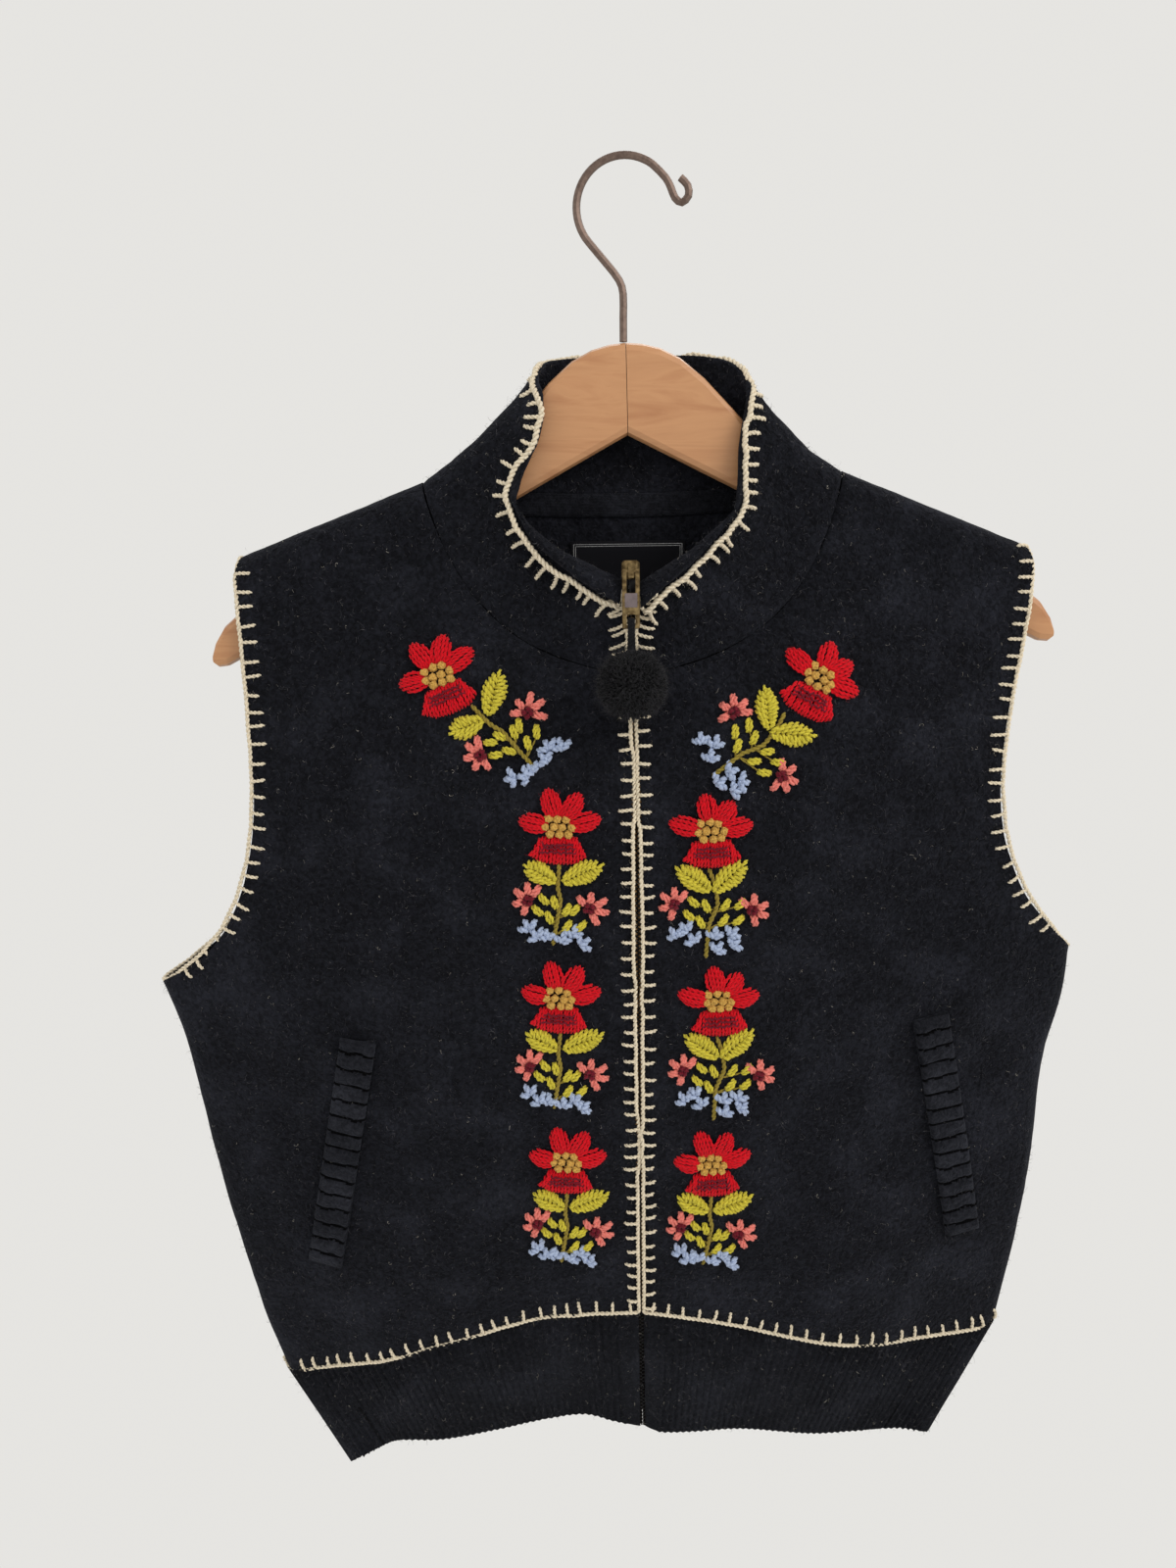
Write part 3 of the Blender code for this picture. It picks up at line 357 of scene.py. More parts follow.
def metal(name, dark, bright, roughness):
    made = Finish(name, roughness, Metallic=0.95)
    wear = made.noise(420, 5, distortion=0.4)
    made.paint(made.colours(wear, (0.35, dark), (0.7, bright)))
    made.rough(wear, roughness - 0.08, roughness + 0.15).raised(made.noise(1800, 3), 0.03)
    return made


beech_left = beech("beech_left", 28)
beech_right = beech("beech_right", -28)
bronze = metal("bronze_wire", tone(104, 88, 80), tone(130, 112, 102), 0.45)
brass = metal("antique_brass", tone(84, 68, 44), tone(154, 132, 92), 0.38)
teeth_brass = metal("zip_teeth_brass", tone(70, 54, 36), tone(140, 112, 76), 0.4)
# painted shade: brass teeth in the dark gap behind the waistband, painted near black
teeth_painted_shade = metal("zip_teeth_black", tone(10, 9, 9), tone(26, 23, 21), 0.6)
enamel = two_tones("grey_enamel", 0.25, 300, 2, (0.3, tone(92, 78, 80)), (0.7, tone(108, 94, 95)),
                   Coat_Weight=0.6, Coat_Roughness=0.1)
tape_weave = woven("zip_tape_weave", 0.85, 700, 1.0, (0.2, tone(12, 11, 12)), (0.8, tone(30, 27, 27)),
                   0.12, Sheen_Weight=0.1)
label_cloth = woven("label_satin", 0.6, 1600, 0.5, (0.2, tone(9, 9, 13)), (0.8, tone(24, 24, 30)),
                    0.08, Specular_IOR_Level=0.12)
label_thread = two_tones("label_thread", 0.6, 2000, 2, (0.3, tone(150, 150, 152)),
                         (0.7, tone(205, 205, 206)))
pale_paint = two_tones("pale_floor_paint", 0.6, 8, 3, (0.3, (0.70, 0.69, 0.67, 1)),
                       (0.7, (0.74, 0.73, 0.71, 1)))
floor.data.materials.append(pale_paint.material)
print("finishes with the hard parts", len(bpy.data.materials))

# %% [markdown]
# ## Cloth shells
# A CAD solid is a closed wall of flat faces. Its copy is given round faces by a subdivision surface,
# with creases along the cut edges so that the seams still meet. Then soft troughs and ridges are put
# in where the real cloth eases, and a slight unevenness, since no felt is quite flat. A
# cloth simulation could find folds by itself, but it would pull the pieces off their solids, and a
# vest on a hanger has only a few.

# %% A rounded copy of a solid
EDGE_ANGLE = math.radians(50)


def merged(node):
    """A CAD node's mesh with its doubled points joined."""
    work = bmesh.new()
    work.from_mesh(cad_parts[node].data)
    bmesh.ops.remove_doubles(work, verts=work.verts, dist=2e-5)
    return work


def place_object(name, mesh, finish, body="vest"):
    made = bpy.data.objects.new(name, mesh)
    scene.collection.objects.link(made)
    if finish and not mesh.materials:
        mesh.materials.append(finish.material)
    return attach(made, body)


def rounded(node, levels, crease=1.0, longest=0):
    """A smooth copy of a CAD node, as a mesh."""
    work = merged(node)
    bmesh.ops.join_triangles(work, faces=work.faces, angle_face_threshold=math.radians(30),
                             angle_shape_threshold=math.radians(60))
    if longest:
        long_edges = [e for e in work.edges if e.calc_length() > longest * MM]
        bmesh.ops.subdivide_edges(work, edges=long_edges, cuts=3, use_grid_fill=True)
    creases = work.edges.layers.float.new("crease_edge")
    for edge in work.edges:
        if edge.calc_face_angle(0) > EDGE_ANGLE:
            edge[creases] = crease
    mesh = bpy.data.meshes.new(node + "_rounded")
    work.to_mesh(mesh)
    work.free()
    holder = bpy.data.objects.new(node + "_holder", mesh)
    scene.collection.objects.link(holder)
    modifier = holder.modifiers.new("round", "SUBSURF")
    modifier.levels = modifier.render_levels = levels
    bpy.context.view_layer.update()
    smooth = bpy.data.meshes.new_from_object(
        holder.evaluated_get(bpy.context.evaluated_depsgraph_get()))
    bpy.data.objects.remove(holder)
    smooth.materials.clear()
    return smooth


# %% Points of a mesh


def points_of(mesh):
    flat = np.zeros(len(mesh.vertices) * 3)
    mesh.vertices.foreach_get("co", flat)
    return flat.reshape(-1, 3)


def normals_of(mesh):
    flat = np.zeros(len(mesh.vertices) * 3)
    mesh.vertices.foreach_get("normal", flat)
    return flat.reshape(-1, 3)


def set_points(mesh, points):
    mesh.vertices.foreach_set("co", points.ravel())
    mesh.update()


# %% Creases and unevenness


def distance_to(points, a, b):
    """How far points are, seen from the front, from a line between two (x, z), and where along it."""
    run = b - a
    flat = points[:, [0, 2]]
    share = np.clip(((flat - a) @ run) / (run @ run), 0, 1)
    return np.linalg.norm(flat - a - share[:, None] * run, axis=1), share


def eased(points, creases, front):
    """Soft troughs and ridges: each runs from one (x, z) to another and stands in or out."""
    out = points.copy()
    sign = -1 if front else 1
    for crease in creases:
        away, share = distance_to(points, np.array(crease["from"]) * MM, np.array(crease["to"]) * MM)
        taper = np.sin(math.pi * np.clip(0.08 + 0.84 * share, 0, 1))
        profile = np.exp(-(away / (crease["width"] * MM)) ** 2)
        out[:, 1] += sign * crease["rise"] * MM * taper * profile
    return out


def uneven(points, normals, rise, size):
    """Moves points along their normals by smooth noise."""
    lift = np.array([noise.noise(Vector(p / (size * MM))) for p in points])
    return points + normals * (lift * rise * MM)[:, None]


# %% [markdown]
# The waistband's ribs are in the CAD mesh, 4.4 mm apart. They could be modelled again, but it is
# simpler to draw out what is there: each point moves away from the mean of its neighbours.

# %% Ribs of the waistband
RIB_DEPTH = {"gain": 2.2, "rounds": 5, "limit": 0.8, "shaded_below": -0.04}


def deeper_ribs(mesh, points, normals):
    """Draws the ribs of a band out: each point moves away from the mean of the points round it."""
    edges = np.zeros(len(mesh.edges) * 2, int)
    mesh.edges.foreach_get("vertices", edges)
    one, two = edges.reshape(-1, 2).T
    count = np.bincount(edges, minlength=len(points))[:, None]
    mean = points.copy()
    for _ in range(RIB_DEPTH["rounds"]):
        total = np.zeros_like(points)
        np.add.at(total, one, mean[two])
        np.add.at(total, two, mean[one])
        mean = total / count
    away = (points - mean)[:, 1]
    flat_side = (np.abs(normals[:, 1]) > 0.6) & (np.abs(away) < 0.9 * MM)
    limit = RIB_DEPTH["limit"] * MM
    points[:, 1] += np.where(flat_side, np.clip(away * RIB_DEPTH["gain"], -limit, limit), 0)
    return points, np.where(flat_side, away * np.sign(normals[:, 1]), 0)


def shade_valleys(mesh, rise):
    """Gives the faces between two ribs the finish of cloth that is out of the light."""
    mesh.materials.append(rib_shade.material)
    for face in mesh.polygons:
        face.material_index = int(rise[list(face.vertices)].mean() < RIB_DEPTH["shaded_below"] * MM)


# %% [markdown]
# Between the collar and the fronts, the thread pulls both edges in. The seam's line is given as
# (x, z), and the cloth sinks along it in a narrow smooth trough.

# %% The pressed neck seam
NECK_SEAMS = {
    "left": [(-106, -147), (-104, -150), (-97, -174), (-87, -195), (-73, -214), (-51, -232),
             (-21, -243)],
    "right": [(111, -144), (110, -147), (102, -177), (97, -190), (89, -203), (79, -216), (66, -227),
              (48, -236), (28, -243)],
}
SEAM_PRESS = {"deep": 1.5, "width": 2.4}


def pressed_seam(points):
    """Sinks the cloth along the neck seam."""
    away = np.full(len(points), 1.0)
    for line in NECK_SEAMS.values():
        spots = np.array(line) * MM
        for a, b in zip(spots, spots[1:]):
            away = np.minimum(away, distance_to(points, a, b)[0])
    sunk = SEAM_PRESS["deep"] * MM * np.exp(-(away / (SEAM_PRESS["width"] * MM)) ** 2)
    points[:, 1] += np.where(points[:, 1] < 0, sunk, 0)
    return points


# %% Finding places on a shell


def surface_tree(mesh):
    return BVHTree.FromPolygons([v.co.copy() for v in mesh.vertices],
                                [tuple(p.vertices) for p in mesh.polygons])


def cloth_area(mesh):
    """The area of one side of the cloth, in square metres."""
    return sum(p.area for p in mesh.polygons) / 2


# %% [markdown]
# The two fronts, the back and the collar are boiled wool. The creases follow the photograph: the
# fronts ease below the neck seam and at the waist, where the rib draws them in.

# %% Creases of the fronts and the back
FRONT_CREASES = [
    {"from": (-60, -262), "to": (-84, -330), "width": 12, "rise": -1.6},
    {"from": (66, -262), "to": (84, -330), "width": 12, "rise": -1.6},
    {"from": (-204, -420), "to": (-160, -470), "width": 14, "rise": 2.0},
    {"from": (-214, -450), "to": (-176, -520), "width": 10, "rise": -1.6},
    {"from": (198, -410), "to": (160, -470), "width": 14, "rise": 2.0},
    {"from": (206, -440), "to": (176, -505), "width": 10, "rise": -1.8},
    {"from": (-150, -640), "to": (-166, -560), "width": 13, "rise": 2.4},
    {"from": (-118, -628), "to": (-128, -560), "width": 11, "rise": -2.0},
    {"from": (-66, -618), "to": (-60, -560), "width": 12, "rise": 1.5},
    {"from": (150, -634), "to": (160, -570), "width": 12, "rise": 1.8},
    {"from": (96, -628), "to": (92, -566), "width": 12, "rise": -1.6},
]
BACK_CREASES = [
    {"from": (-70, -190), "to": (-110, -300), "width": 14, "rise": 1.6},
    {"from": (74, -190), "to": (112, -300), "width": 14, "rise": 1.6},
    {"from": (-206, -420), "to": (-150, -480), "width": 14, "rise": -1.8},
    {"from": (200, -414), "to": (148, -478), "width": 14, "rise": -1.8},
    {"from": (-60, -640), "to": (-66, -550), "width": 13, "rise": 1.8},
    {"from": (50, -640), "to": (56, -548), "width": 13, "rise": 1.8},
    {"from": (0, -636), "to": (-4, -570), "width": 12, "rise": -1.5},
]
print("creases", len(FRONT_CREASES), "in front,", len(BACK_CREASES), "behind")

# %% [markdown]
# One function makes every piece of cloth: round it, crease it, make it a little uneven, and let it
# stand for its solid. Its shell and a search tree are kept, because yarn and fibre lie on them.

# %% A piece of cloth
shells, trees = {}, {}
PRESSED = ("front_left", "front_right", "collar")      # the pieces that meet at the front neck seam


def cloth_piece(node, finish, levels, creases=(), front=True, rise=0.45, crease=1.0, longest=0):
    mesh = rounded(node, levels, crease, longest)
    points = eased(points_of(mesh), creases, front)
    points = uneven(points, normals_of(mesh), rise, 22)
    points = uneven(points, normals_of(mesh), rise * 0.5, 5)
    if node in PRESSED:
        points = pressed_seam(points)
    if node.startswith("band"):
        points, rise_of_ribs = deeper_ribs(mesh, points, normals_of(mesh))
    set_points(mesh, points)
    mesh.shade_smooth()
    mesh.set_sharp_from_angle(angle=math.radians(70))
    made = place_object(node + "_cloth", mesh, finish)
    if node.startswith("band"):
        shade_valleys(mesh, rise_of_ribs)
    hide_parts(node)
    shells[node], trees[node] = made, surface_tree(mesh)
    print(node, "triangles", sum(len(p.vertices) - 2 for p in mesh.polygons),
          "area", round(cloth_area(mesh), 4))
    return made


# %% Fronts, back, collar and waistband
for side in ("left", "right"):
    cloth_piece(f"front_{side}", black_felt, 2, FRONT_CREASES)
cloth_piece("back", black_felt, 2, BACK_CREASES, front=False)
cloth_piece("collar", black_felt, 2, rise=0.8, crease=0.9)
for side in ("left", "right", "back"):
    cloth_piece(f"band_{side}", black_rib, 1, rise=0.25)

# %% [markdown]
# Thin trim, such as a tape or a pressed allowance, is a slab between two grids of points: one on the
# cloth that carries it, and one a little way off it.

# %% A slab between two grids


def slab(name, back, front, finish):
    """A closed piece between two grids of points of the same size."""
    rows, columns = back.shape[:2]
    count = rows * columns
    faces = []
    for r in range(rows - 1):
        for c in range(columns - 1):
            a = r * columns + c
            faces.append((a, a + 1, a + columns + 1, a + columns))
            b = count + a
            faces.append((b, b + columns, b + columns + 1, b + 1))
    border = list(range(columns)) + [r * columns + columns - 1 for r in range(1, rows)]
    border += [(rows - 1) * columns + c for c in range(columns - 2, -1, -1)]
    border += [r * columns for r in range(rows - 2, 0, -1)]
    for a, b in zip(border, border[1:] + border[:1]):
        faces.append((a, count + a, count + b, b))
    mesh = bpy.data.meshes.new(name)
    mesh.from_pydata(np.concatenate([back.reshape(-1, 3), front.reshape(-1, 3)]).tolist(), [], faces)
    work = bmesh.new()
    work.from_mesh(mesh)
    bmesh.ops.recalc_face_normals(work, faces=work.faces[:])
    work.to_mesh(mesh)
    work.free()
    mesh.shade_smooth()
    print(name, "triangles", sum(len(f) - 2 for f in faces))
    return place_object(name, mesh, finish)


# %% [markdown]
# A pocket welt is a folded strip of rib, so its ribs run across it. Each is a rounded ridge with
# painted light on it, and the valley between two ridges gets painted shade. Noise could bend the
# valleys too far, so it moves them only a sixth of a rib.

# %% Welts and label
WELT_RIBS = 15
RIB_RISE = 2.6
# faces below this share of a rib's height get painted shade
PAINTED_SHADE_BELOW = 0.62              # below this share of its height a rib is in the dark between two ribs


def welt_ribs(side):
    """The knitted ribs of a welt: rounded ridges across it with sharp valleys between them, painted
    light on the ridges and painted shade in the valleys.
    """
    points = points_of(shells[f"pocket_welt_{side}"].data)[:, [0, 2]]
    middle = points.mean(axis=0)
    along, across = np.linalg.svd(points - middle, full_matrices=False)[2]
    if along[1] > 0:
        along = -along
    reach = (points - middle) @ along
    width = np.abs((points - middle) @ across).max()
    back, front, heights = [], [], []
    offs = np.linspace(-0.97, 0.97, 17)
    for share in np.linspace(0.012, 0.988, WELT_RIBS * 12):
        row_middle = middle + along * (reach.min() + share * (reach.max() - reach.min()))
        spots = [row_middle + across * off * width for off in offs]
        hits = [trees[f"pocket_welt_{side}"].ray_cast(Vector((x, -0.2, z)), Vector((0, 1, 0)))[0]
                for x, z in spots]
        found = [k for k, hit in enumerate(hits) if hit is not None]
        depths = np.interp(range(len(offs)), found, [hits[k].y for k in found])
        back_row, front_row = [], []
        for off, (x, z), y in zip(offs, spots, depths):
            place = share * WELT_RIBS + 0.16 * noise.noise(Vector((off * 1.4, share * 9, 3)))
            ridge = math.sqrt(max(0.0, 1 - abs(2 * (place % 1) - 1) ** 3))
            heights.append(ridge)
            edge = min(1.0, (1 - abs(off)) / 0.16, 24 * share, 24 * (1 - share))
            back_row.append((x, y + 0.5 * MM, z))
            front_row.append((x, y - (RIB_RISE * ridge * edge - 0.1) * MM, z))
        back.append(back_row)
        front.append(front_row)
    # ridges take the painted-light finish, and faces low in a valley the painted-shade one
    made = slab(f"welt_ribs_{side}", np.array(back), np.array(front), rib_crest_painted_light)
    made.data.materials.append(painted_deep_shade_wool.material)
    heights = np.array(heights + heights)
    for face in made.data.polygons:
        face.material_index = int(heights[list(face.vertices)].mean() < PAINTED_SHADE_BELOW)


for side in ("left", "right"):
    cloth_piece(f"pocket_welt_{side}", black_rib, 1, rise=0.25)
    welt_ribs(side)
cloth_piece("neck_label", label_cloth, 1, rise=0.15)

# %% [markdown]
# A sheet's flat size is what the cutter lays on the table. The shells are hung, not stretched, so
# their own area is the cut's area.

# %% What was cut
CUTS = {
    "front_left": (0.262, 0.505), "front_right": (0.248, 0.500), "back": (0.530, 0.545),
    "collar": (0.430, 0.100), "band_left": (0.222, 0.088), "band_right": (0.222, 0.088),
    "band_back": (0.440, 0.090), "pocket_welt_left": (0.023, 0.143),
    "pocket_welt_right": (0.022, 0.137), "neck_label": (0.060, 0.026),
}

# %% [markdown]
# ## Yarn
# Crewel yarn has two plies. Each ply is a thin tube wound round the path of the yarn, so the twist
# is real and catches the light. Relief on one smooth tube would be lighter, but its outline would
# stay smooth. All yarn of one colour on one sprig goes into one mesh, because a scene with thousands
# of objects is slow.

# %% Lines of points


def unit(rows):
    """One vector, or each of many, at length one."""
    return rows / np.linalg.norm(rows, axis=-1, keepdims=True)


def beside(way):
    """The direction a quarter turn to the left of a flat one."""
    return np.array([-way[1], way[0]])


def resampled(points, step):
    """Points at even steps along a row of points."""
    points = np.array([tuple(p) for p in points], float)
    run = np.concatenate([[0], np.cumsum(np.linalg.norm(np.diff(points, axis=0), axis=1))])
    count = max(3, int(round(run[-1] / step)) + 1)
    places = np.linspace(0, run[-1], count)
    return np.stack([np.interp(places, run, points[:, k]) for k in range(3)], axis=1), places


def smoothed(points, passes=1):
    points = np.array([tuple(p) for p in points], float)
    for _ in range(passes):
        points[1:-1] = (points[:-2] + 2 * points[1:-1] + points[2:]) / 4
    return points


def frames_along(points):
    """Tangents and two cross directions at each point, without sudden turns."""
    tangents = np.gradient(points, axis=0)
    tangents /= np.linalg.norm(tangents, axis=1)[:, None] + 1e-12
    first = np.cross(tangents[0], (0.3, 0.5, 0.8))
    first /= np.linalg.norm(first) + 1e-12
    ones = [first]
    for tangent in tangents[1:]:
        across = ones[-1] - tangent * (ones[-1] @ tangent)
        ones.append(across / (np.linalg.norm(across) + 1e-12))
    ones = np.array(ones)
    return tangents, ones, np.cross(tangents, ones)


# %% A skein of yarn


class Skein:
    """Collects tubes of yarn and turns them into one mesh."""

    def __init__(self):
        self.points, self.faces, self.count = [], [], 0

    def tube(self, points, radii, sides=5):
        _, one, two = frames_along(points)
        angles = np.arange(sides) * 2 * math.pi / sides
        ring = (np.cos(angles)[None, :, None] * one[:, None, :]
                + np.sin(angles)[None, :, None] * two[:, None, :])
        rings = points[:, None, :] + ring * np.asarray(radii)[:, None, None]
        base = self.count
        for r in range(len(points) - 1):
            for k in range(sides):
                a, b = base + r * sides + k, base + r * sides + (k + 1) % sides
                self.faces.append((a, b, b + sides, a + sides))
        last = base + (len(points) - 1) * sides
        self.faces.append(tuple(base + k for k in range(sides))[::-1])
        self.faces.append(tuple(last + k for k in range(sides)))
        self.points.append(rings.reshape(-1, 3))
        self.count += len(points) * sides

    def yarn(self, points, radius, twist=5.0, step=1.0, taper=0.75):
        """Two plies wound round the path; radius, twist and step are in millimetres."""
        path, places = resampled(points, step * MM)
        _, one, two = frames_along(path)
        share = places / places[-1]
        ends = np.clip(np.minimum(share, 1 - share) * places[-1] / (1.2 * radius * MM), 0, 1)
        thick = radius * MM * (taper + (1 - taper) * ends)
        start = chance.uniform(0, 6.28)
        for ply in (0, math.pi):
            angle = start + ply + places / (twist * MM) * 2 * math.pi
            wound = path + (thick * 0.5)[:, None] * (np.cos(angle)[:, None] * one
                                                     + np.sin(angle)[:, None] * two)
            self.tube(wound, thick * 0.58)

    def object(self, name, finish, body="vest", slot=None):
        mesh = bpy.data.meshes.new(name)
        mesh.from_pydata(np.concatenate(self.points).tolist(), [], self.faces)
        mesh.shade_smooth()
        made = place_object(name, mesh, finish, body)
        print(name, "triangles", sum(len(f) - 2 for f in self.faces))
        return made


# %% [markdown]
# ## Blanket stitch
# A blanket stitch runs a thick cream yarn along a cut edge and takes a short leg back into the cloth
# every nine millimetres or so. The edges are read from the frame: a cut edge is a row of sharp edges
# in the CAD mesh, and the shortest way along them gives the yarn its path. The paths could be drawn
# by hand, but they would have to be drawn again each time the cloth changes.

# %% Edge paths
CUT_EDGE_ANGLE = math.radians(42)


def sharp_ways(node):
    """Sharp edges of a node as a graph of points and neighbours."""
    work = merged(node)
    work.verts.ensure_lookup_table()
    ways = {}
    for edge in work.edges:
        if edge.calc_face_angle(0) > CUT_EDGE_ANGLE:
            a, b = (v.index for v in edge.verts)
            ways.setdefault(a, []).append((b, edge.calc_length()))
            ways.setdefault(b, []).append((a, edge.calc_length()))
    places = {k: work.verts[k].co.copy() for k in ways}
    work.free()
    return ways, places


def edge_path(node, *stops):
    """The shortest way along sharp edges through the points nearest to the stops."""
    ways, places = sharp_ways(node)
    marks = [min(places, key=lambda k: (places[k] - Vector(s) * MM).length) for s in stops]
    whole = []
    for start, end in zip(marks, marks[1:]):
        best, before, queue = {start: 0.0}, {}, [(0.0, start)]
        while queue:
            far, here = heapq.heappop(queue)
            if here == end:
                break
            for there, length in ways[here]:
                if far + length < best.get(there, 1e9):
                    best[there] = far + length
                    before[there] = here
                    heapq.heappush(queue, (far + length, there))
        leg = [end]
        while leg[-1] != start and leg[-1] in before:
            leg.append(before[leg[-1]])
        whole += leg[::-1] if not whole else leg[-2::-1]
    return [places[k] for k in whole]


# %% [markdown]
# The stitch needs two directions at each point: along the edge, and into the cloth. The second is
# the cross product of the first and the cloth's normal, turned to the side that the caller names.

# %% One run of blanket stitch


def blanket_stitch(skein, node, path, inward, spacing, leg, set_in=0.0, radius=1.15, lift=0.55,
                   start=4.0, curl=0.0):
    """Edge yarn along a path and legs into the cloth; sizes in millimetres."""
    tree = trees[node]
    line, places = resampled(smoothed(path, 2), 1.5 * MM)
    tangents = unit(np.gradient(line, axis=0))
    middle = len(line) // 2
    normals = []
    for point, tangent in zip(line, tangents):
        found = tree.find_nearest(Vector(point) + Vector(inward(point)) * 2.5 * MM)
        normals.append(found[1])
    across = Vector(normals[middle]).cross(Vector(tangents[middle]))
    turn = 1 if across.dot(Vector(inward(line[middle]))) > 0 else -1
    ways = [(turn * Vector(n).cross(Vector(t))).normalized() for n, t in zip(normals, tangents)]
    yarn_line = []
    for point, way, normal in zip(line, ways, normals):
        place = Vector(point) + way * set_in * MM
        if set_in > 0:
            spot = tree.find_nearest(place)
            place = spot[0] + spot[1] * lift * MM
        else:
            place = place + normal * lift * MM * 0.6 - way * 0.3 * MM
        wave = noise.noise(place * 90) * 0.35 * MM
        yarn_line.append(place + way * wave)
    skein.yarn(smoothed(yarn_line, 2), radius, twist=5.5)
    at = start
    total = places[-1] / MM
    legs = 0
    while at < total - 2:
        index = int(np.searchsorted(places, at * MM))
        index = min(index, len(line) - 1)
        lean = chance.uniform(-0.14, 0.14)
        way = (ways[index] + Vector(tangents[index]) * (lean + curl)).normalized()
        reach = leg * chance.uniform(0.85, 1.15)
        points = []
        for share in np.linspace(0, 1, 6):
            place = Vector(line[index]) + way * (set_in + reach * share) * MM
            place += Vector(tangents[index]) * curl * 2.2 * math.sin(share * 2.6) * MM
            spot = tree.find_nearest(place)
            rise = lift * (1.0 + 0.5 * math.sin(math.pi * share))
            if share == 1:
                rise = -0.5
            points.append(spot[0] + spot[1] * rise * MM)
        points[0] = Vector(yarn_line[index])
        skein.yarn(points, radius * 0.86, twist=4.5, step=0.9)
        at += spacing * chance.uniform(0.85, 1.15)
        legs += 1
    return legs, total


# %% [markdown]
# The same stitch goes round the armholes, up both sides of the zip, round the collar and along the
# waist seam. Its legs point into the cloth: sideways from the zip, up from the waist, and towards the
# chest at the armholes. All sizes are in millimetres.

# %% Ways into the cloth


def armhole_in(point):
    side = -math.copysign(1, point[0])
    low = min(1.0, max(0.0, (-point[2] - 0.30) / 0.09))
    return Vector((side, 0, -1.6 * low)).normalized()


def away_from_zip(sign):
    return lambda point: (sign, 0, 0)


def upward(point):
    return (0, 0, 1)


# %% Armholes and zip edges
STITCHES = {                # spacing and length of the legs
    "armhole": (8.6, 7.5), "zip": (8.2, 6.5), "collar": (7.4, 7.6), "collar end": (4.6, 8.5),
    "waist": (8.8, 6.8),
}
cream = Skein()
ARMHOLE_ENDS = {"left": ((-199, -0.15, -186), (-197, -60, -272), (-259.5, -0.15, -416)),
                "right": ((205, -0.15, -185), (198, -60, -262), (243.5, -0.15, -403))}
report = {}
for side, ends in ARMHOLE_ENDS.items():
    behind = [(x, -y, z) for x, y, z in ends]
    for node, stops in ((f"front_{side}", ends), ("back", behind)):
        path = edge_path(node, *stops)
        report[f"{node} {side} armhole"] = blanket_stitch(cream, node, path, armhole_in,
                                                          *STITCHES["armhole"])
ZIP_EDGES = {"left": -1, "right": 1}
for side, sign in ZIP_EDGES.items():
    low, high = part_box(f"front_{side}")
    near = high if side == "left" else low
    edge = near.x / MM
    path = edge_path(f"front_{side}", (edge + sign, -60, -248), (edge + sign, -60, -440),
                     (edge, -60, -612))
    report[f"zip {side}"] = blanket_stitch(cream, f"front_{side}", path, away_from_zip(sign),
                                           *STITCHES["zip"], set_in=0.2, lift=0.9)
for name, measured in report.items():
    print(name, "legs and millimetres", measured)

# %% [markdown]
# The collar's rim is rolled, so no sharp edge marks it. Its line is given as (x, y, z), and a
# Catmull-Rom curve runs through it. In front, the yarn lies a little down the outer face, so that a
# narrow dark rim shows inside it. At the back of the neck it goes over the rim.

# %% The collar's rim
COLLAR_RIM = [(-4.5, -33, -211), (-24, -34, -199), (-43, -32, -185), (-54, -28, -169), (-58, -23, -158),
              (-54, -19, -147), (-45, -16, -134), (-40, -14, -121), (-42, -11, -108), (-45, -3, -98),
              (-42, 7, -92), (-33, 15, -89), (-17, 19, -88), (2, 20, -88), (24, 19, -88), (44, 15, -88),
              (55.5, 8, -93), (61, -2, -101), (60.5, -9, -111), (57.5, -13, -122), (55.5, -15, -134),
              (56, -19, -149), (54.5, -25, -164), (49, -30, -173), (40, -33, -182), (29, -35, -193),
              (18, -36, -202), (5.5, -35, -213)]
COLLAR_MIDDLE = np.array([2.0, -150.0])
RIM_SHOWS = 2.6            # how much of the dark rim shows inside the yarn
BEHIND = 6.0                # the stitch goes over the back of the rim where the rim is behind this


def rim_line(points, step):
    """A smooth line through the rim's points: Catmull-Rom, at even steps."""
    p = np.array(points, float) * MM
    p = np.vstack([2 * p[0] - p[1], p, 2 * p[-1] - p[-2]])
    out = []
    for a, b, c, d in zip(p, p[1:], p[2:], p[3:]):
        for t in np.arange(10) / 10:
            out.append(0.5 * (2 * b + (c - a) * t + (2 * a - 5 * b + 4 * c - d) * t * t
                              + (3 * b - a - 3 * c + d) * t ** 3))
    return resampled(np.array(out + [p[-2]]), step * MM)


# %% Finding the collar's face


def outward(point, tangent):
    """Away from the neck: across the rim as seen from the front, or backwards behind it."""
    if point[1] > BEHIND * MM:
        return np.array([0.0, 0.35, -1.0])
    across = np.array([tangent[2], 0.0, -tangent[0]])
    flat = np.array([point[0] / MM - COLLAR_MIDDLE[0], 0, point[2] / MM - COLLAR_MIDDLE[1]])
    return across * (1 if across @ flat > 0 else -1)


def seen_on(tree, place, before, step):
    """The first cloth met from the front at a place, never much deeper than the point before."""
    hit = tree.ray_cast(Vector((place[0], -0.4, place[2])), Vector((0, 1, 0)))
    if hit[0] is None:
        return before
    return np.array([place[0], min(hit[0].y - 0.9 * MM, before[1] + 1.1 * step), place[2]])


# %% The collar's stitch


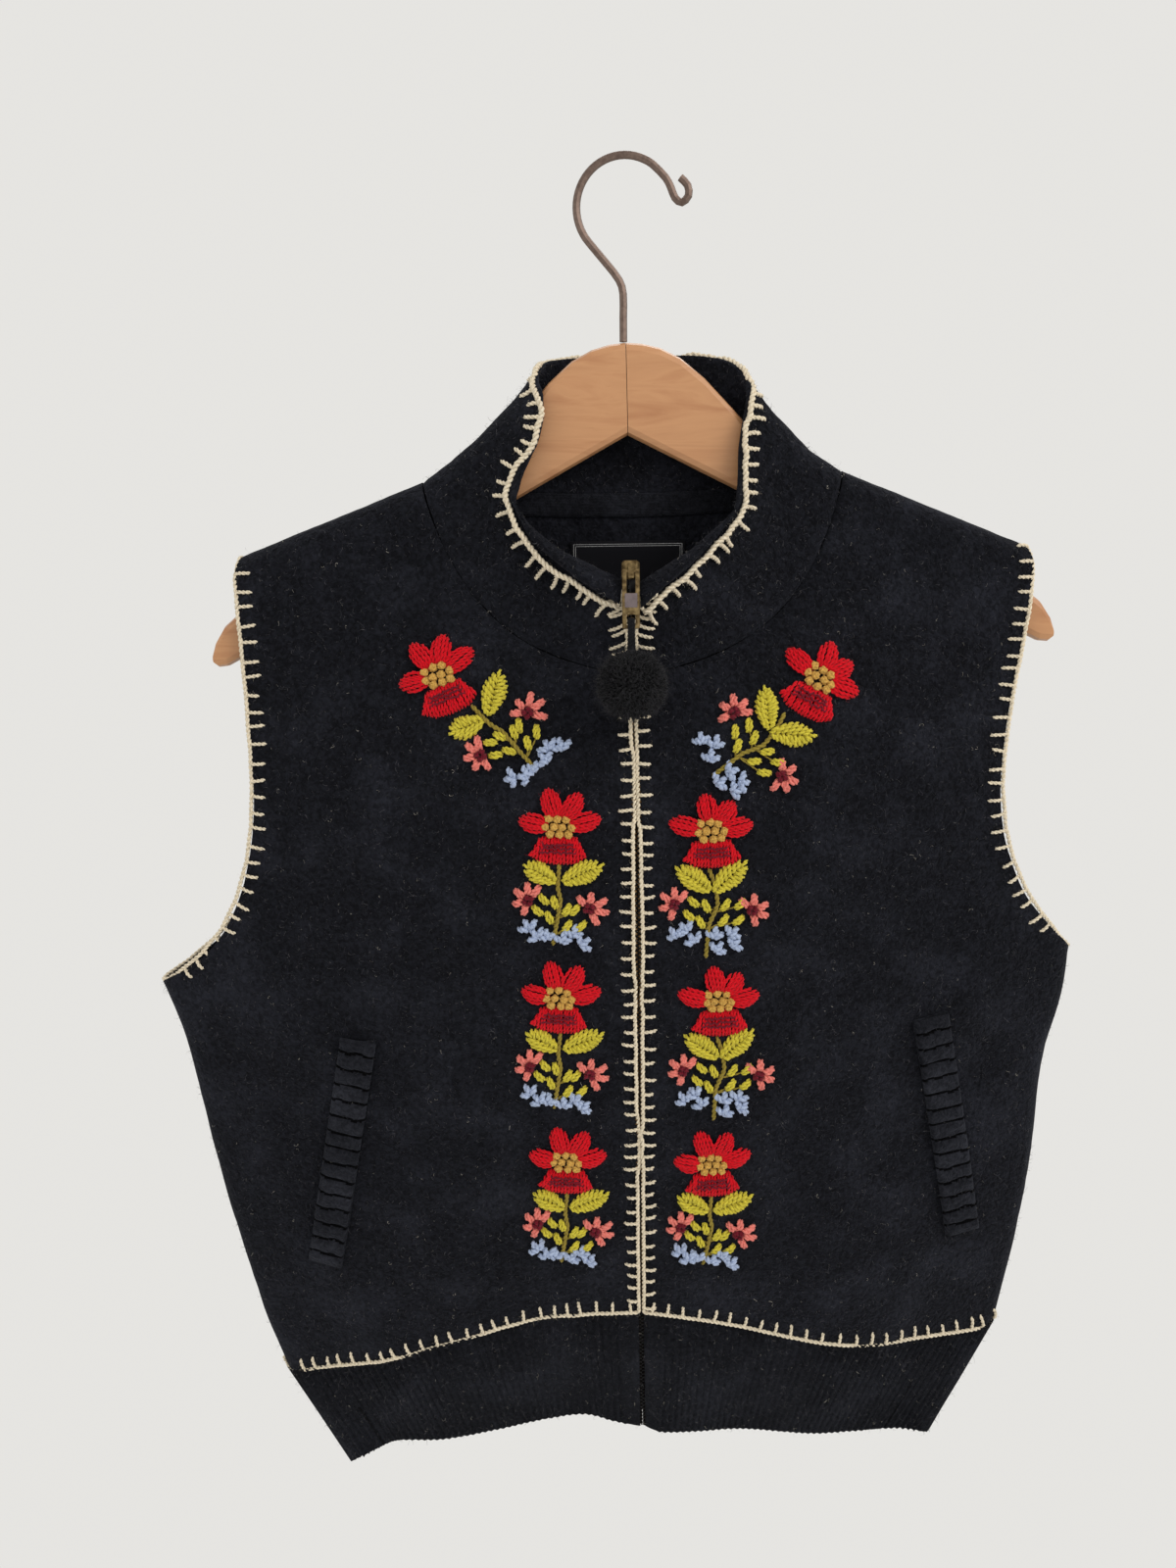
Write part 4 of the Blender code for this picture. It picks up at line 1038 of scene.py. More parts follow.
def collar_stitch(skein, spacing, leg):
    tree = trees["collar"]
    line, places = rim_line(COLLAR_RIM, 1.5)
    tangents = unit(np.gradient(line, axis=0))
    ways = unit(smoothed([outward(p, t) for p, t in zip(line, tangents)], 6))
    rim = []
    for point, way in zip(line, ways):
        spot, normal = tree.find_nearest(Vector(point + way * 0.8 * MM))[:2]
        lift = 0.9 if point[1] > BEHIND * MM else 0.5
        place = np.array(spot) + np.array(normal) * lift * MM
        if point[1] < BEHIND * MM:
            over = min(1.0, (BEHIND * MM - point[1]) / (12 * MM))
            near = np.array(point) + way * RIM_SHOWS * over * MM
            place = seen_on(tree, near, np.array(point), RIM_SHOWS * MM)
        rim.append(place + way * noise.noise(Vector(point) * 140) * 1.8 * MM)
    rim = smoothed(rim, 2)
    skein.yarn(rim, 1.6, twist=5.5)
    at, legs = 5.0, 0
    while at < places[-1] / MM - 2:
        index = int(np.searchsorted(places, at * MM))
        sway = chance.uniform(-0.5, 0.5)
        way = unit(ways[index] + tangents[index] * sway * 0.5)
        reach = leg * chance.uniform(0.75, 1.2)
        points = [rim[index]]
        for share in np.linspace(0.17, 1, 6):
            bow = math.sin(math.pi * share) * sway * 1.8 * MM
            place = rim[index] + way * reach * share * MM + tangents[index] * bow
            if line[index][1] > BEHIND * MM:
                spot, normal = tree.find_nearest(Vector(place))[:2]
                points.append(np.array(spot) + np.array(normal) * 0.8 * MM)
            else:
                points.append(seen_on(tree, place, points[-1], reach * 0.17 * MM))
        if line[index][1] < BEHIND * MM:
            points[-1] = points[-1] + np.array([0, 1.2 * MM, 0])
        skein.yarn(points, 1.15, twist=4.5, step=0.9)
        at += spacing * chance.uniform(0.8, 1.2)
        legs += 1
    return legs, round(places[-1] / MM)


print("collar rim legs and length", collar_stitch(cream, *STITCHES["collar"]))
COLLAR_ENDS = {"left": ((-4.5, -33, -211), (-2, -60, -246)),
               "right": ((5.5, -35, -213), (3, -60, -246))}
for side, ends in COLLAR_ENDS.items():
    path = edge_path("collar", *ends)
    print("collar end", side, blanket_stitch(cream, "collar", path, away_from_zip(ZIP_EDGES[side]),
                                             *STITCHES["collar end"], set_in=0.3, lift=0.9, start=2.5,
                                             curl=0.25))

# %% [markdown]
# The waist stitch covers the seam above the ribbed band. Its path has three stops on each front, so
# that the shortest way along sharp edges can't take a short cut over a side.

# %% Waist stitches
WAIST_ENDS = {"front_left": ((3, -60, -612), (-108, -60, -629), (-206.5, -0.15, -662)),
              "front_right": ((7, -60, -612), (112, -60, -634), (217, -0.15, -632)),
              "back": ((-206.5, 0.15, -662), (0, 60, -633), (217, 0.15, -632))}
for node, ends in WAIST_ENDS.items():
    print("waist", node, blanket_stitch(cream, node, edge_path(node, *ends), upward,
                                        *STITCHES["waist"], set_in=0.3, lift=0.8))
cream.object("blanket_stitch", yarn_finishes["cream"])

# %% [markdown]
# ## Embroidery
# Each sprig is drawn once, upright, in millimetres from the middle of its flower, and then turned
# and laid on the cloth by dropping each point on it. Hand work is never twice the same, so every
# strand is moved a little, and there are two drawings. A picture of stitches would lie flat, while
# thick wool stands up two or three millimetres, so every strand is yarn.

# %% Sprig drawings
SPRIG_A = {
    "petals": [(-20, 3.7), (-6.5, 20), (10.3, 18.2), (21, 6)],
    "leaves": [((-2, -28), (-18, -19.6), 8.5), ((2, -28.5), (22.5, -19.6), 9)],
    "stem": [(0, -19), (-1.4, -31.8), (0, -39), (-1.9, -49.5), (-4.2, -63.5)],
    "florets": [((-16.8, -38.3), [(-22.4, -33.6), (-16.8, -30.4), (-11.2, -31.8), (-23.4, -40.2),
                                  (-19.2, -45.3)]),
                ((15.4, -43.5), [(10.3, -37.9), (16.4, -36.4), (23.4, -39.3), (24.3, -45.8),
                                 (19.2, -51.4)])],
    "leaflets": [(-8.4, -38.3), (-2.8, -40.2), (-11.7, -44.4), (-5.6, -48.6), (3.3, -44.4),
                 (7.5, -44.4), (3.3, -53.3), (10.7, -53.3)],
    "blue": [(-16.4, -54.2), (-11.7, -58.9), (-7, -59.8), (0.9, -61.7), (6.5, -58.4), (10.7, -63.6)],
}
SPRIG_B = {
    "petals": [(-21, 6), (-2.8, 19.6), (11.7, 15), (21, 3.3)],
    "leaves": [((-0.5, -31), (-17.8, -19), 8.5), ((1.9, -31.8), (18.2, -16.4), 9)],
    "stem": [(-1, -20), (2.3, -29.4), (3.3, -38.8), (-1.4, -50), (-2.3, -68.7)],
    "florets": [((-19, -38.8), [(-25, -34), (-19, -31.2), (-13.6, -33), (-25.6, -40.6), (-21, -46)]),
                ((22, -42.5), [(16.4, -37.4), (22.8, -35.4), (28.8, -39.4), (29, -45.4), (23.6, -50)])],
    "leaflets": [(-8.9, -37.9), (-2.3, -40.2), (-11.2, -45.3), (-5.1, -49.1), (7.5, -39.7),
                 (15.4, -39.3), (6.5, -48.1), (14.5, -48.1)],
    "blue": [(-17.8, -56.5), (-12, -53), (-8.4, -59.5), (1.9, -57), (3, -65), (10.5, -56),
             (11.5, -62)],
}
KNOTS = [(-5.6, 5.0), (-0.8, 5.4), (3.8, 4.8), (-7.0, 0.6), (-2.6, 0.9), (2.0, 0.6), (6.6, 0.7),
         (-4.2, -3.0), (0.6, -3.2), (5.2, -2.8)]
BOWL_TOP = [(-14.4, -13), (-10.4, -5), (0, -3.6), (10.6, -4.6), (14.6, -12.4)]
BOWL_LOW = [(-14.4, -14.6), (-9, -18.4), (0, -19.6), (9.4, -18.8), (14.6, -14.8)]
SPRIGS = {
    "left_1": {"at": (-97, -247), "turn": 22, "low_turn": 50, "shift": (2, -2), "blue": (7, -4),
               "drawing": SPRIG_A},
    "left_2": {"at": (-37, -325), "turn": -3, "drawing": SPRIG_A},
    "left_3": {"at": (-38, -419), "turn": -4, "drawing": SPRIG_A},
    "left_4": {"at": (-36, -515), "turn": -3, "drawing": SPRIG_A},
    "right_1": {"at": (97, -251), "turn": -28, "low_turn": -48, "shift": (-2, -3.5),
                "blue": (-6, -6), "drawing": SPRIG_B},
    "right_2": {"at": (42, -328), "turn": 2, "drawing": SPRIG_B},
    "right_3": {"at": (47, -422), "turn": 2, "drawing": SPRIG_B},
    "right_4": {"at": (44, -518), "turn": 2, "drawing": SPRIG_A},
}
STRAND = 0.95               # radius of a strand of crewel yarn
print("sprigs", list(SPRIGS))

# %% [markdown]
# A needle works one sprig. It knows four stitches: a single strand, a fan of strands side by side, a
# knot, and a leaf in fishbone stitch. Each stitch is pressed onto the cloth point by point.

# %% The needle's stitches


def drop(side, x, z, lift):
    """A point on the front of the cloth, lifted off it."""
    tree = trees[f"front_{side}"]
    found = tree.ray_cast(Vector((x * MM, -0.3, z * MM)), Vector((0, 1, 0)))
    if found[0] is None:
        found = tree.find_nearest(Vector((x * MM, -0.03, z * MM)))
    return found[0] + found[1] * lift * MM


class Needle:
    """Works one sprig: turns its drawing and lays strands on the cloth."""

    def __init__(self, side, sprig):
        self.side, self.sprig = side, sprig
        self.skeins = {}

    def place(self, point, lift, part="flower"):
        turn = self.sprig["turn"] if part == "flower" else self.sprig.get("low_turn", 0)
        angle = math.radians(turn)
        x = point[0] * math.cos(angle) - point[1] * math.sin(angle) + self.sprig["at"][0]
        z = point[0] * math.sin(angle) + point[1] * math.cos(angle) + self.sprig["at"][1]
        shift = {"flower": (0, 0), "low": self.sprig.get("shift", (0, 0)),
                 "blue": self.sprig.get("blue", (0, 0))}[part]
        return drop(self.side, x + shift[0], z + shift[1], lift)

    def strand(self, colour, points, rise, radius=STRAND, part="flower", ends=-0.3, base=0.5,
               loose=0.35):
        """One stitch: it comes up through the cloth, arches over and goes down again."""
        points = np.array(points, float)
        run = np.concatenate([[0], np.cumsum(np.linalg.norm(np.diff(points, axis=0), axis=1))])
        count = max(4, int(run[-1] / 1.6) + 2)
        line = []
        sway = chance.uniform(-loose, loose, 2)
        for share in np.linspace(0, 1, count):
            x = np.interp(share * run[-1], run, points[:, 0]) + sway[0] * math.sin(math.pi * share)
            z = np.interp(share * run[-1], run, points[:, 1]) + sway[1] * math.sin(math.pi * share)
            lift = base + rise * math.sin(math.pi * share) ** 0.7
            if share in (0.0, 1.0):
                lift = ends
            line.append(self.place((x, z), lift, part))
        self.skeins.setdefault(colour, Skein()).yarn(line, radius, twist=6.0, step=1.3, taper=0.7)

    def fan(self, colour, root, tip, width, count, rise, radius=STRAND, part="flower",
            root_share=0.45, blunt=0.5):
        """Strands side by side from a narrow root to a rounded tip, as in satin stitch."""
        root, tip = np.array(root, float), np.array(tip, float)
        along = tip - root
        length = np.linalg.norm(along)
        along /= length
        side = beside(along)
        for k in range(count):
            off = (k - (count - 1) / 2) / max(1, (count - 1) / 2)
            spread = off * (width / 2 - radius * 0.6)
            end = root + along * length * (1 - blunt * 0.45 * off * off) + side * spread
            start = root + side * spread * root_share
            middle = (start + end) / 2 + side * spread * 0.35
            self.strand(colour, [start, middle, end], rise * (1 - 0.35 * off * off), radius, part)

    def knot(self, centre, colour, size=3.1, lift=1.1, part="flower"):
        """A French knot: the yarn is wound twice round the needle and pulled down."""
        line = []
        start = chance.uniform(0, 6.28)
        centre = np.array(centre, float) + chance.uniform(-0.35, 0.35, 2)
        for share in np.linspace(0, 1, 15):
            angle = start + share * 4.2 * math.pi
            out = size * (0.62 - 0.28 * share)
            spot = centre + out * np.array([math.cos(angle), math.sin(angle)])
            line.append(self.place(spot, lift + 1.9 * share, part))
        self.skeins.setdefault(colour, Skein()).yarn(smoothed(line), 1.4, twist=4.0, step=0.9)

    def leaf(self, base, tip, width, part="low"):
        """Fishbone stitch: slanting strands from the edge to the midrib, in pairs."""
        base, tip = np.array(base, float), np.array(tip, float)
        along = tip - base
        length = np.linalg.norm(along)
        along /= length
        side = beside(along)
        steps = max(5, int(round(length / 3.2)))
        for k in range(steps):
            share = k / steps
            narrowing = (1.0 - 0.75 * max(0, share - 0.5) / 0.5) * min(1, 0.6 + share * 1.6)
            half = width / 2 * 1.32 * narrowing
            for hand in (-1, 1):
                root = base + along * (length * share * 0.86 - 0.4 * (hand > 0))
                end = root + along * (3.2 + 0.35 * half) + side * hand * half
                bend = (end + root) / 2 + side * hand * 0.3
                self.strand("leaf", [end, bend, root], 1.5, 1.42, part, loose=0.1)
        self.strand("leaf", [tip + along * 0.8, tip - along * 4.5], 1.2, 1.1, part)


# %% [markdown]
# The flower is worked from the outside in: four petals, the bowl under them with a burgundy tangle
# across it, and mustard knots in the middle.

# %% Flower and leaves


def flower(needle):
    for tip in needle.sprig["drawing"]["petals"]:
        tip = np.array(tip, float)
        way = unit(tip)
        needle.fan("red", way * 5.6, tip * 1.03, 9.2, 6, 2.8, 1.02, root_share=0.6)
    top, low = np.array(BOWL_TOP, float), np.array(BOWL_LOW, float)
    for x in np.arange(-14.2, 14.6, 1.75):
        high = np.interp(x, top[:, 0], top[:, 1])
        deep = np.interp(x, low[:, 0], low[:, 1])
        needle.strand("red", [(x * 0.9, high), (x, (high + deep) / 2), (x * 1.03, deep)], 2.0, 1.0)
    for z, reach in ((-8.3, 8.5), (-10.4, 9.8), (-12.5, 10.4)):
        tangle = [(x, z + 0.9 * (-1) ** k + chance.uniform(-0.5, 0.5))
                  for k, x in enumerate(np.linspace(-reach, reach, 13))]
        needle.strand("burgundy", tangle, 0.7, 0.62, base=2.9, loose=0, ends=2.0)
    for centre in KNOTS:
        needle.knot(centre, "mustard")


def leaves_and_stem(needle):
    for base, tip, width in needle.sprig["drawing"]["leaves"]:
        needle.leaf(base, tip, width)
    needle.strand("olive", needle.sprig["drawing"]["stem"], 0.5, 1.3, "low", loose=0.6)


# %% [markdown]
# Below the leaves stand two salmon florets with burgundy centres, small leaves on stalks, and a row
# of blue heads. Petals and small leaves are pairs of strands that touch at the tip.

# %% Florets, small leaves and blue heads


def florets(needle):
    for centre, tips in needle.sprig["drawing"]["florets"]:
        for tip in tips:
            middle, end = np.array(centre, float), np.array(tip, float)
            way = unit(end - middle)
            side = beside(way)
            for hand in (-0.62, 0.62):
                needle.strand("salmon", [middle + way * 2.6 + side * hand * 0.9,
                                         middle + way * 4.6 + side * hand * 1.35,
                                         end + way * 1.2 + side * hand * 0.8],
                              1.5, 1.4, "low", loose=0.15)
        for turn in range(4):
            angle = turn * 1.57 + 0.5
            needle.knot((centre[0] + 1.7 * math.cos(angle), centre[1] + 1.7 * math.sin(angle)),
                        "burgundy", 1.8, 0.9, "low")


def small_leaves(needle):
    stem = np.array(needle.sprig["drawing"]["stem"], float)
    for spot in needle.sprig["drawing"]["leaflets"]:
        spot = np.array(spot, float)
        joint_z = spot[1] - 4.5
        joint = np.array([np.interp(-joint_z, -stem[:, 1], stem[:, 0]), joint_z])
        way = unit(unit(spot - joint) + np.array([0, 0.5]))
        side = beside(way)
        needle.strand("olive", [joint, spot - way * 2], 0.2, 0.5, "low", loose=0.2)
        for hand in (-0.85, 0.85):
            needle.strand("leaf", [spot - way * 3.4 + side * hand * 0.5, spot + side * hand * 1.3,
                                   spot + way * 3.7 + side * hand * 0.5], 1.3, 1.2, "low", loose=0.1)


def blue_heads(needle):
    stem = needle.sprig["drawing"]["stem"]
    for spot in needle.sprig["drawing"]["blue"]:
        spot = np.array(spot, float)
        lean = math.atan2(spot[0] - stem[-1][0], 16) + chance.uniform(-0.3, 0.3)
        for angle in (-1.15, 0.0, 1.1):
            way = np.array([math.sin(angle + lean), math.cos(angle + lean)])
            reach = chance.uniform(4.6, 5.8)
            needle.strand("blue", [spot, spot + way * reach * 0.5, spot + way * reach],
                          1.5, 1.95, "blue", loose=0.15)


# %% Working the eight sprigs
COLOUR_SLOTS = {"red": "red_wool"}
for name, sprig in SPRIGS.items():
    needle = Needle(name.split("_")[0], sprig)
    for worked in (flower, leaves_and_stem, florets, small_leaves, blue_heads):
        worked(needle)
    for colour, skein in needle.skeins.items():
        made = skein.object(f"sprig_{name}_{colour}", yarn_finishes[colour],
                            slot=COLOUR_SLOTS.get(colour))
        if colour == "red":
            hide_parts(f"bloom_{name}")

# %% [markdown]
# ## Zip
# The tape and its bead come from the frame. A tooth is a small brass block with a rounded nose, and
# the two rows are half a pitch apart so that they mesh. An array along a curve could place them, but
# a ray that meets the bead puts each tooth exactly on its tape. Behind the waistband the brass teeth
# are painted near black as painted shade, because that gap lies in shade.

# %% Zip teeth
TOOTH_PITCH = 2.6
TOOTH_RADII = (0.75, 0.85, 0.55)
SLIDER_TOP = -206
# below the waist seam the teeth get painted shade instead of brass
TEETH_LOW = -612            # the waist seam; the teeth below it are black
ZIP_FOOT = -718


def zip_centre(z):
    """The zip's middle at a height; the zip leans, as the vest hangs a little askew."""
    return float(np.interp(z, [-720, -612, -409, -279, -246, -200], [6.5, 5, 4, 3, 1.5, 0]))


def tooth_rows(low, high):
    """Teeth on the beads of both tapes."""
    teeth = Skein()
    for side, sign in ZIP_EDGES.items():
        tree = surface_tree(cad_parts[f"zip_{side}"].data)
        z = low + (0 if side == "left" else TOOTH_PITCH / 2)
        while z < high:
            for x in np.arange(0, 9, 0.25):
                probe = Vector((zip_centre(z) + sign * x, -200, z)) * MM
                found = tree.ray_cast(probe, Vector((0, 1, 0)))[0]
                if found is not None:
                    spot = found + Vector((sign * 0.9, -0.25, 0)) * MM
                    line = [spot + Vector((sign * 1.3, 0.2, 0)) * MM, spot,
                            spot + Vector((-sign * 1.1, 0.1, 0)) * MM]
                    teeth.tube(np.array([tuple(p) for p in line]), np.array(TOOTH_RADII) * MM, 6)
                    break
            z += TOOTH_PITCH
    return teeth


tooth_rows(TEETH_LOW, SLIDER_TOP).object("zip_teeth", teeth_brass, slot="antique_brass")
# the teeth behind the waistband take the painted-shade finish
tooth_rows(ZIP_FOOT, TEETH_LOW).object("zip_teeth_band", teeth_painted_shade, slot="zip_tape")
for side in ZIP_EDGES:
    cloth_piece(f"zip_{side}", tape_weave, 1, rise=0.1)

# %% [markdown]
# The slider, the pull tab, the wood and the hook are rigid, and their CAD shapes are right, so they
# keep them. The slider and the tab also get a fine bevel, so that their worn edges catch the light;
# the wood and the wire are round already.

# %% Hard parts
WORN_EDGE = 0.25
HARD = {"hanger_wood_left": beech_left, "hanger_wood_right": beech_right, "hanger_hook": bronze,
        "zip_slider": brass, "zip_pull": brass}
for name, finish in HARD.items():
    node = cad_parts[name]
    node.data.materials.clear()
    node.data.materials.append(finish.material)
    if name in ("zip_slider", "zip_pull"):
        bevel = node.modifiers.new("worn_edges", "BEVEL")
        bevel.width = WORN_EDGE * MM
        bevel.segments = 2
        bevel.limit_method = "ANGLE"
print("hard parts", list(HARD))

# %% [markdown]
# The pull tab's face has a plain plate of grey enamel. It is cut from one face, drawn out to a slab
# and bevelled all round.

# %% Enamel plate on the pull tab
pull_low, pull_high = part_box("zip_pull")
pull_middle = (pull_low + pull_high) / 2
PLATE = {"half_width": 3.1, "low": 0.36, "high": 0.60, "stands": 0.25}


def raised_plate(name, corners, front, back, finish, body):
    """A thin plate with a softly bevelled edge; corners are (x, z)."""
    work = bmesh.new()
    face = work.faces.new([work.verts.new((x, front, z)) for x, z in corners])
    made = bmesh.ops.extrude_face_region(work, geom=[face])
    for item in made["geom"]:
        if isinstance(item, bmesh.types.BMVert):
            item.co.y = back
    bmesh.ops.recalc_face_normals(work, faces=work.faces[:])
    bmesh.ops.bevel(work, geom=work.edges[:], offset=0.18 * MM, segments=2, affect="EDGES")
    mesh = bpy.data.meshes.new(name)
    work.to_mesh(mesh)
    work.free()
    return place_object(name, mesh, finish, body)


pull_run = pull_high.z - pull_low.z
plate_low = pull_low.z + PLATE["low"] * pull_run
plate_high = pull_low.z + PLATE["high"] * pull_run
half = PLATE["half_width"] * MM
plate_corners = [(pull_middle.x - half, plate_low), (pull_middle.x + half, plate_low),
                 (pull_middle.x + half, plate_high), (pull_middle.x - half, plate_high)]
raised_plate("pull_enamel", plate_corners, pull_low.y - PLATE["stands"] * MM, pull_middle.y, enamel,
             "pull")
print("plate", [round(v / MM, 1) for v in (2 * half, plate_high - plate_low)])

# %% [markdown]
# ## Seams and trim inside
# At each side seam, the edges of front and back are pressed flat inside, and they close the line
# between the two solids when it is seen from the side. A strip over that line does the same. Its
# depth is read from the shells by casting rays outwards, and evened out along the seam.

# %% Side seam allowances
SEAM_TOPS = {"left": (-418, -1), "right": (-405, 1)}
SEAM_FOOT = -728
SEAM_HALF = 4.5            # half the width of the pressed allowance
SEAM_THICK = 0.8
ACROSS = np.linspace(-SEAM_HALF, SEAM_HALF, 7)


def first_wall(walls, start, way):
    """The first place where a ray meets any of several shells, or None."""
    hits = [wall.ray_cast(Vector(start), Vector(way)) for wall in walls]
    hits = [hit for hit in hits if hit[0] is not None]
    return min(hits, key=lambda hit: hit[3])[0] if hits else None


def evened(grid, axis, rounds):
    """A grid whose rows are evened out along the strip, in one direction."""
    grid = np.array(grid)
    for _ in range(rounds):
        grid[1:-1, :, axis] = (grid[:-2, :, axis] + 2 * grid[1:-1, :, axis] + grid[2:, :, axis]) / 4
    return grid


def seam_allowance(side):
    """The edges of front and back, pressed flat inside the side seam down to the hem."""
    top, sign = SEAM_TOPS[side]
    walls = [trees[name] for name in (f"front_{side}", f"band_{side}", "back", "band_back")]
    grid = []
    for z in np.linspace(top, SEAM_FOOT, 90):
        found = [first_wall(walls, (sign * 90 * MM, y * MM, z * MM), (sign, 0, 0)) for y in ACROSS]
        if found[0] is None or found[-1] is None:
            continue
        ends = [np.nan if found[k] is None else abs(found[k].x) for k in (0, 1, -2, -1)]
        flat = np.interp(np.linspace(-1, 1, 7), [-1, -0.55, 0.55, 1], ends)
        grid.append([(sign * (x - 0.1 * MM), y * MM, z * MM) for x, y in zip(flat, ACROSS)])
    grid = evened(grid, 0, 3)
    made = slab(f"seam_allowance_{side}", grid, grid - np.array([sign * SEAM_THICK * MM, 0, 0]),
                black_felt)


for side in SEAM_TOPS:
    seam_allowance(side)

# %% [markdown]
# The seam between the collar and each front has such an allowance too. It lies in the dark behind
# the seam, so it takes the darkest wool finish, which is painted shade.

# %% Front neck seam allowances


def neck_allowance(side):
    """A pressed allowance behind the seam between collar and front."""
    line, _ = resampled([(x * MM, 0, z * MM) for x, z in NECK_SEAMS[side]], 3 * MM)
    line = smoothed(line, 2)
    ways = unit(np.gradient(line, axis=0))
    walls = [trees["collar"], trees[f"front_{side}"]]
    grid = []
    for point, way in zip(line, ways):
        row = []
        for off in ACROSS:
            x, z = point[0] - way[2] * off * MM, point[2] + way[0] * off * MM
            spot = first_wall(walls, (x, -0.001, z), (0, -1, 0))
            row.append((x, np.nan if spot is None else spot.y, z))
        row = np.array(row)
        good = np.flatnonzero(~np.isnan(row[:, 1]))
        if len(good) < 3:
            continue
        ends = good[[0, -1]]
        row[:, 1] = np.interp(np.arange(7), ends, row[ends, 1]) + 0.1 * MM
        grid.append(row)
    grid = evened(grid, 1, 3)
    # painted shade: the allowance takes the darkest shaded copy of the wool
    made = slab(f"neck_allowance_{side}", grid, grid + np.array([0, 0.6 * MM, 0]), painted_deep_shade_wool)


for side in NECK_SEAMS:
    neck_allowance(side)

# %% [markdown]
# A soft tape covers the seam between the collar and the back, and the woven label is sewn under it.
# The label carries only a plain double border, which is woven in pale thread.

# %% Neck tape
TAPE = {"width": 12.0, "thick": 0.9}


def neck_tape():
    """A felt tape along the inside of the back neck seam."""
    line, _ = resampled([(x * MM, 0, z * MM) for x, z in
                         [(-99, -154), (-88, -158), (-60, -161), (-30, -162), (3, -162.5), (36, -161.5),
                          (66, -159.5), (94, -156), (105, -151)]], 2.5 * MM)
    inside = [trees["back"], trees["collar"]]
    points = []
    for x, _, z in line:
        row = []
        for down in np.linspace(-0.5, 0.5, 7):
            probe = Vector((x, 0.002, z + down * TAPE["width"] * MM))
            spot = first_wall(inside, probe, (0, 1, 0))
            row.append([x, (0.012 if spot is None else spot.y) - 0.15 * MM, probe.z])
        points.append(row)
    grid = np.array(points)
    grid[:, :, 1] = (grid[:, :, 1] + np.min(grid[:, :, 1], axis=1)[:, None]) / 2
    grid = evened(grid, 1, 4)
    made = slab("neck_tape", grid, grid - np.array([0, TAPE["thick"] * MM, 0]), black_rib)
    return made


tape = neck_tape()

# %% Label border


def border_line(inset, name):
    """A rectangle of thread on the face of the label."""
    low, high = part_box("neck_label")
    tree = trees["neck_label"]
    x0, x1 = low.x + inset * MM, high.x - inset * MM
    z0, z1 = low.z + inset * MM, high.z - inset * MM
    corners = [(x0, z0), (x1, z0), (x1, z1), (x0, z1), (x0, z0)]
    thread = Skein()
    for a, b in zip(corners, corners[1:]):
        line = []
        for share in np.linspace(0, 1, 30):
            x, z = a[0] + (b[0] - a[0]) * share, a[1] + (b[1] - a[1]) * share
            hit = tree.ray_cast(Vector((x, -0.02, z)), Vector((0, 1, 0)))
            if hit[0] is None:
                hit = tree.find_nearest(Vector((x, 0, z)))
            line.append(np.array(hit[0]) + np.array([0, -0.05 * MM, 0]))
        thread.tube(np.array(line), np.full(len(line), 0.14 * MM), 4)
    return thread.object(name, label_thread, slot="label_satin")


border_line(1.6, "label_border_outer")
border_line(2.6, "label_border_inner")

# %% [markdown]
# ## Pompom and cord
# The pompom is a ball of cut yarn on a short cord. Both hang from the pull tab and ride with it.
# Hair could make the ball, but hair isn't a mesh, so each strand is a thin bent tube that starts
# inside and ends at the surface.

# %% Pompom
pom_low, pom_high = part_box("pompom")
pom_centre = (np.array(pom_low) + np.array(pom_high)) / 2
pom_radius = (pom_high.x - pom_low.x) / 2
POM_STRANDS = 2600


def round_ways(count, scatter):
    """Directions spread evenly over a ball, each moved a little."""
    up = 1 - 2 * (np.arange(count) + 0.5) / count
    turn = np.arange(count) * 2.399963
    flat = np.sqrt(1 - up * up)
    ways = np.stack([flat * np.cos(turn), flat * np.sin(turn), up], axis=1)
    ways += chance.normal(0, scatter, (count, 3))
    return unit(ways)


pom = Skein()
for way in round_ways(POM_STRANDS, 0.1):
    bend = np.cross(way, chance.normal(0, 1, 3))
    bend /= np.linalg.norm(bend) + 1e-9
    reach = pom_radius * chance.uniform(0.86, 1.02)
    curl = chance.uniform(0.05, 0.22)
    line = np.array([pom_centre + way * reach * s + bend * reach * curl * math.sin(5 * (s - 0.5))
                     for s in (0.5, 0.68, 0.82, 0.93, 1.0)])
    pom.tube(line, np.array([0.55, 0.6, 0.55, 0.5, 0.3]) * MM, 3)
pompom = pom.object("pompom_yarn", yarn_finishes["black"], "pull", "black_yarn")
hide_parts("pompom")

# %% Cord
cord_low, cord_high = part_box("pull_cord")
cord = Skein()
cord_x, cord_y = (cord_low.x + cord_high.x) / 2, (cord_low.y + cord_high.y) / 2
for k in range(4):
    off = (k - 1.5) * 1.1 * MM
    top = np.array([cord_x + off * 0.6, cord_y, cord_high.z])
    low = np.array([cord_x + off, cord_y, cord_low.z - 4 * MM])
    cord.yarn([top, (top + low) / 2 + np.array([0, -0.6 * MM, 0]), low], 0.75, twist=4)
pull_cord = cord.object("pull_cord_yarn", yarn_finishes["black"], "pull", "black_yarn")
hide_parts("pull_cord")

# %% [markdown]
# ## Fibre
# Boiled wool and crewel yarn are hairy. Each fibre here is a narrow ribbon of four short faces that
# leaves the cloth and curls at random. Most are black; a few are pale lint caught in the felt. Hair
# curves would do it too, but a ribbon is a mesh that any viewer shows.

# %% Roots of the fibres


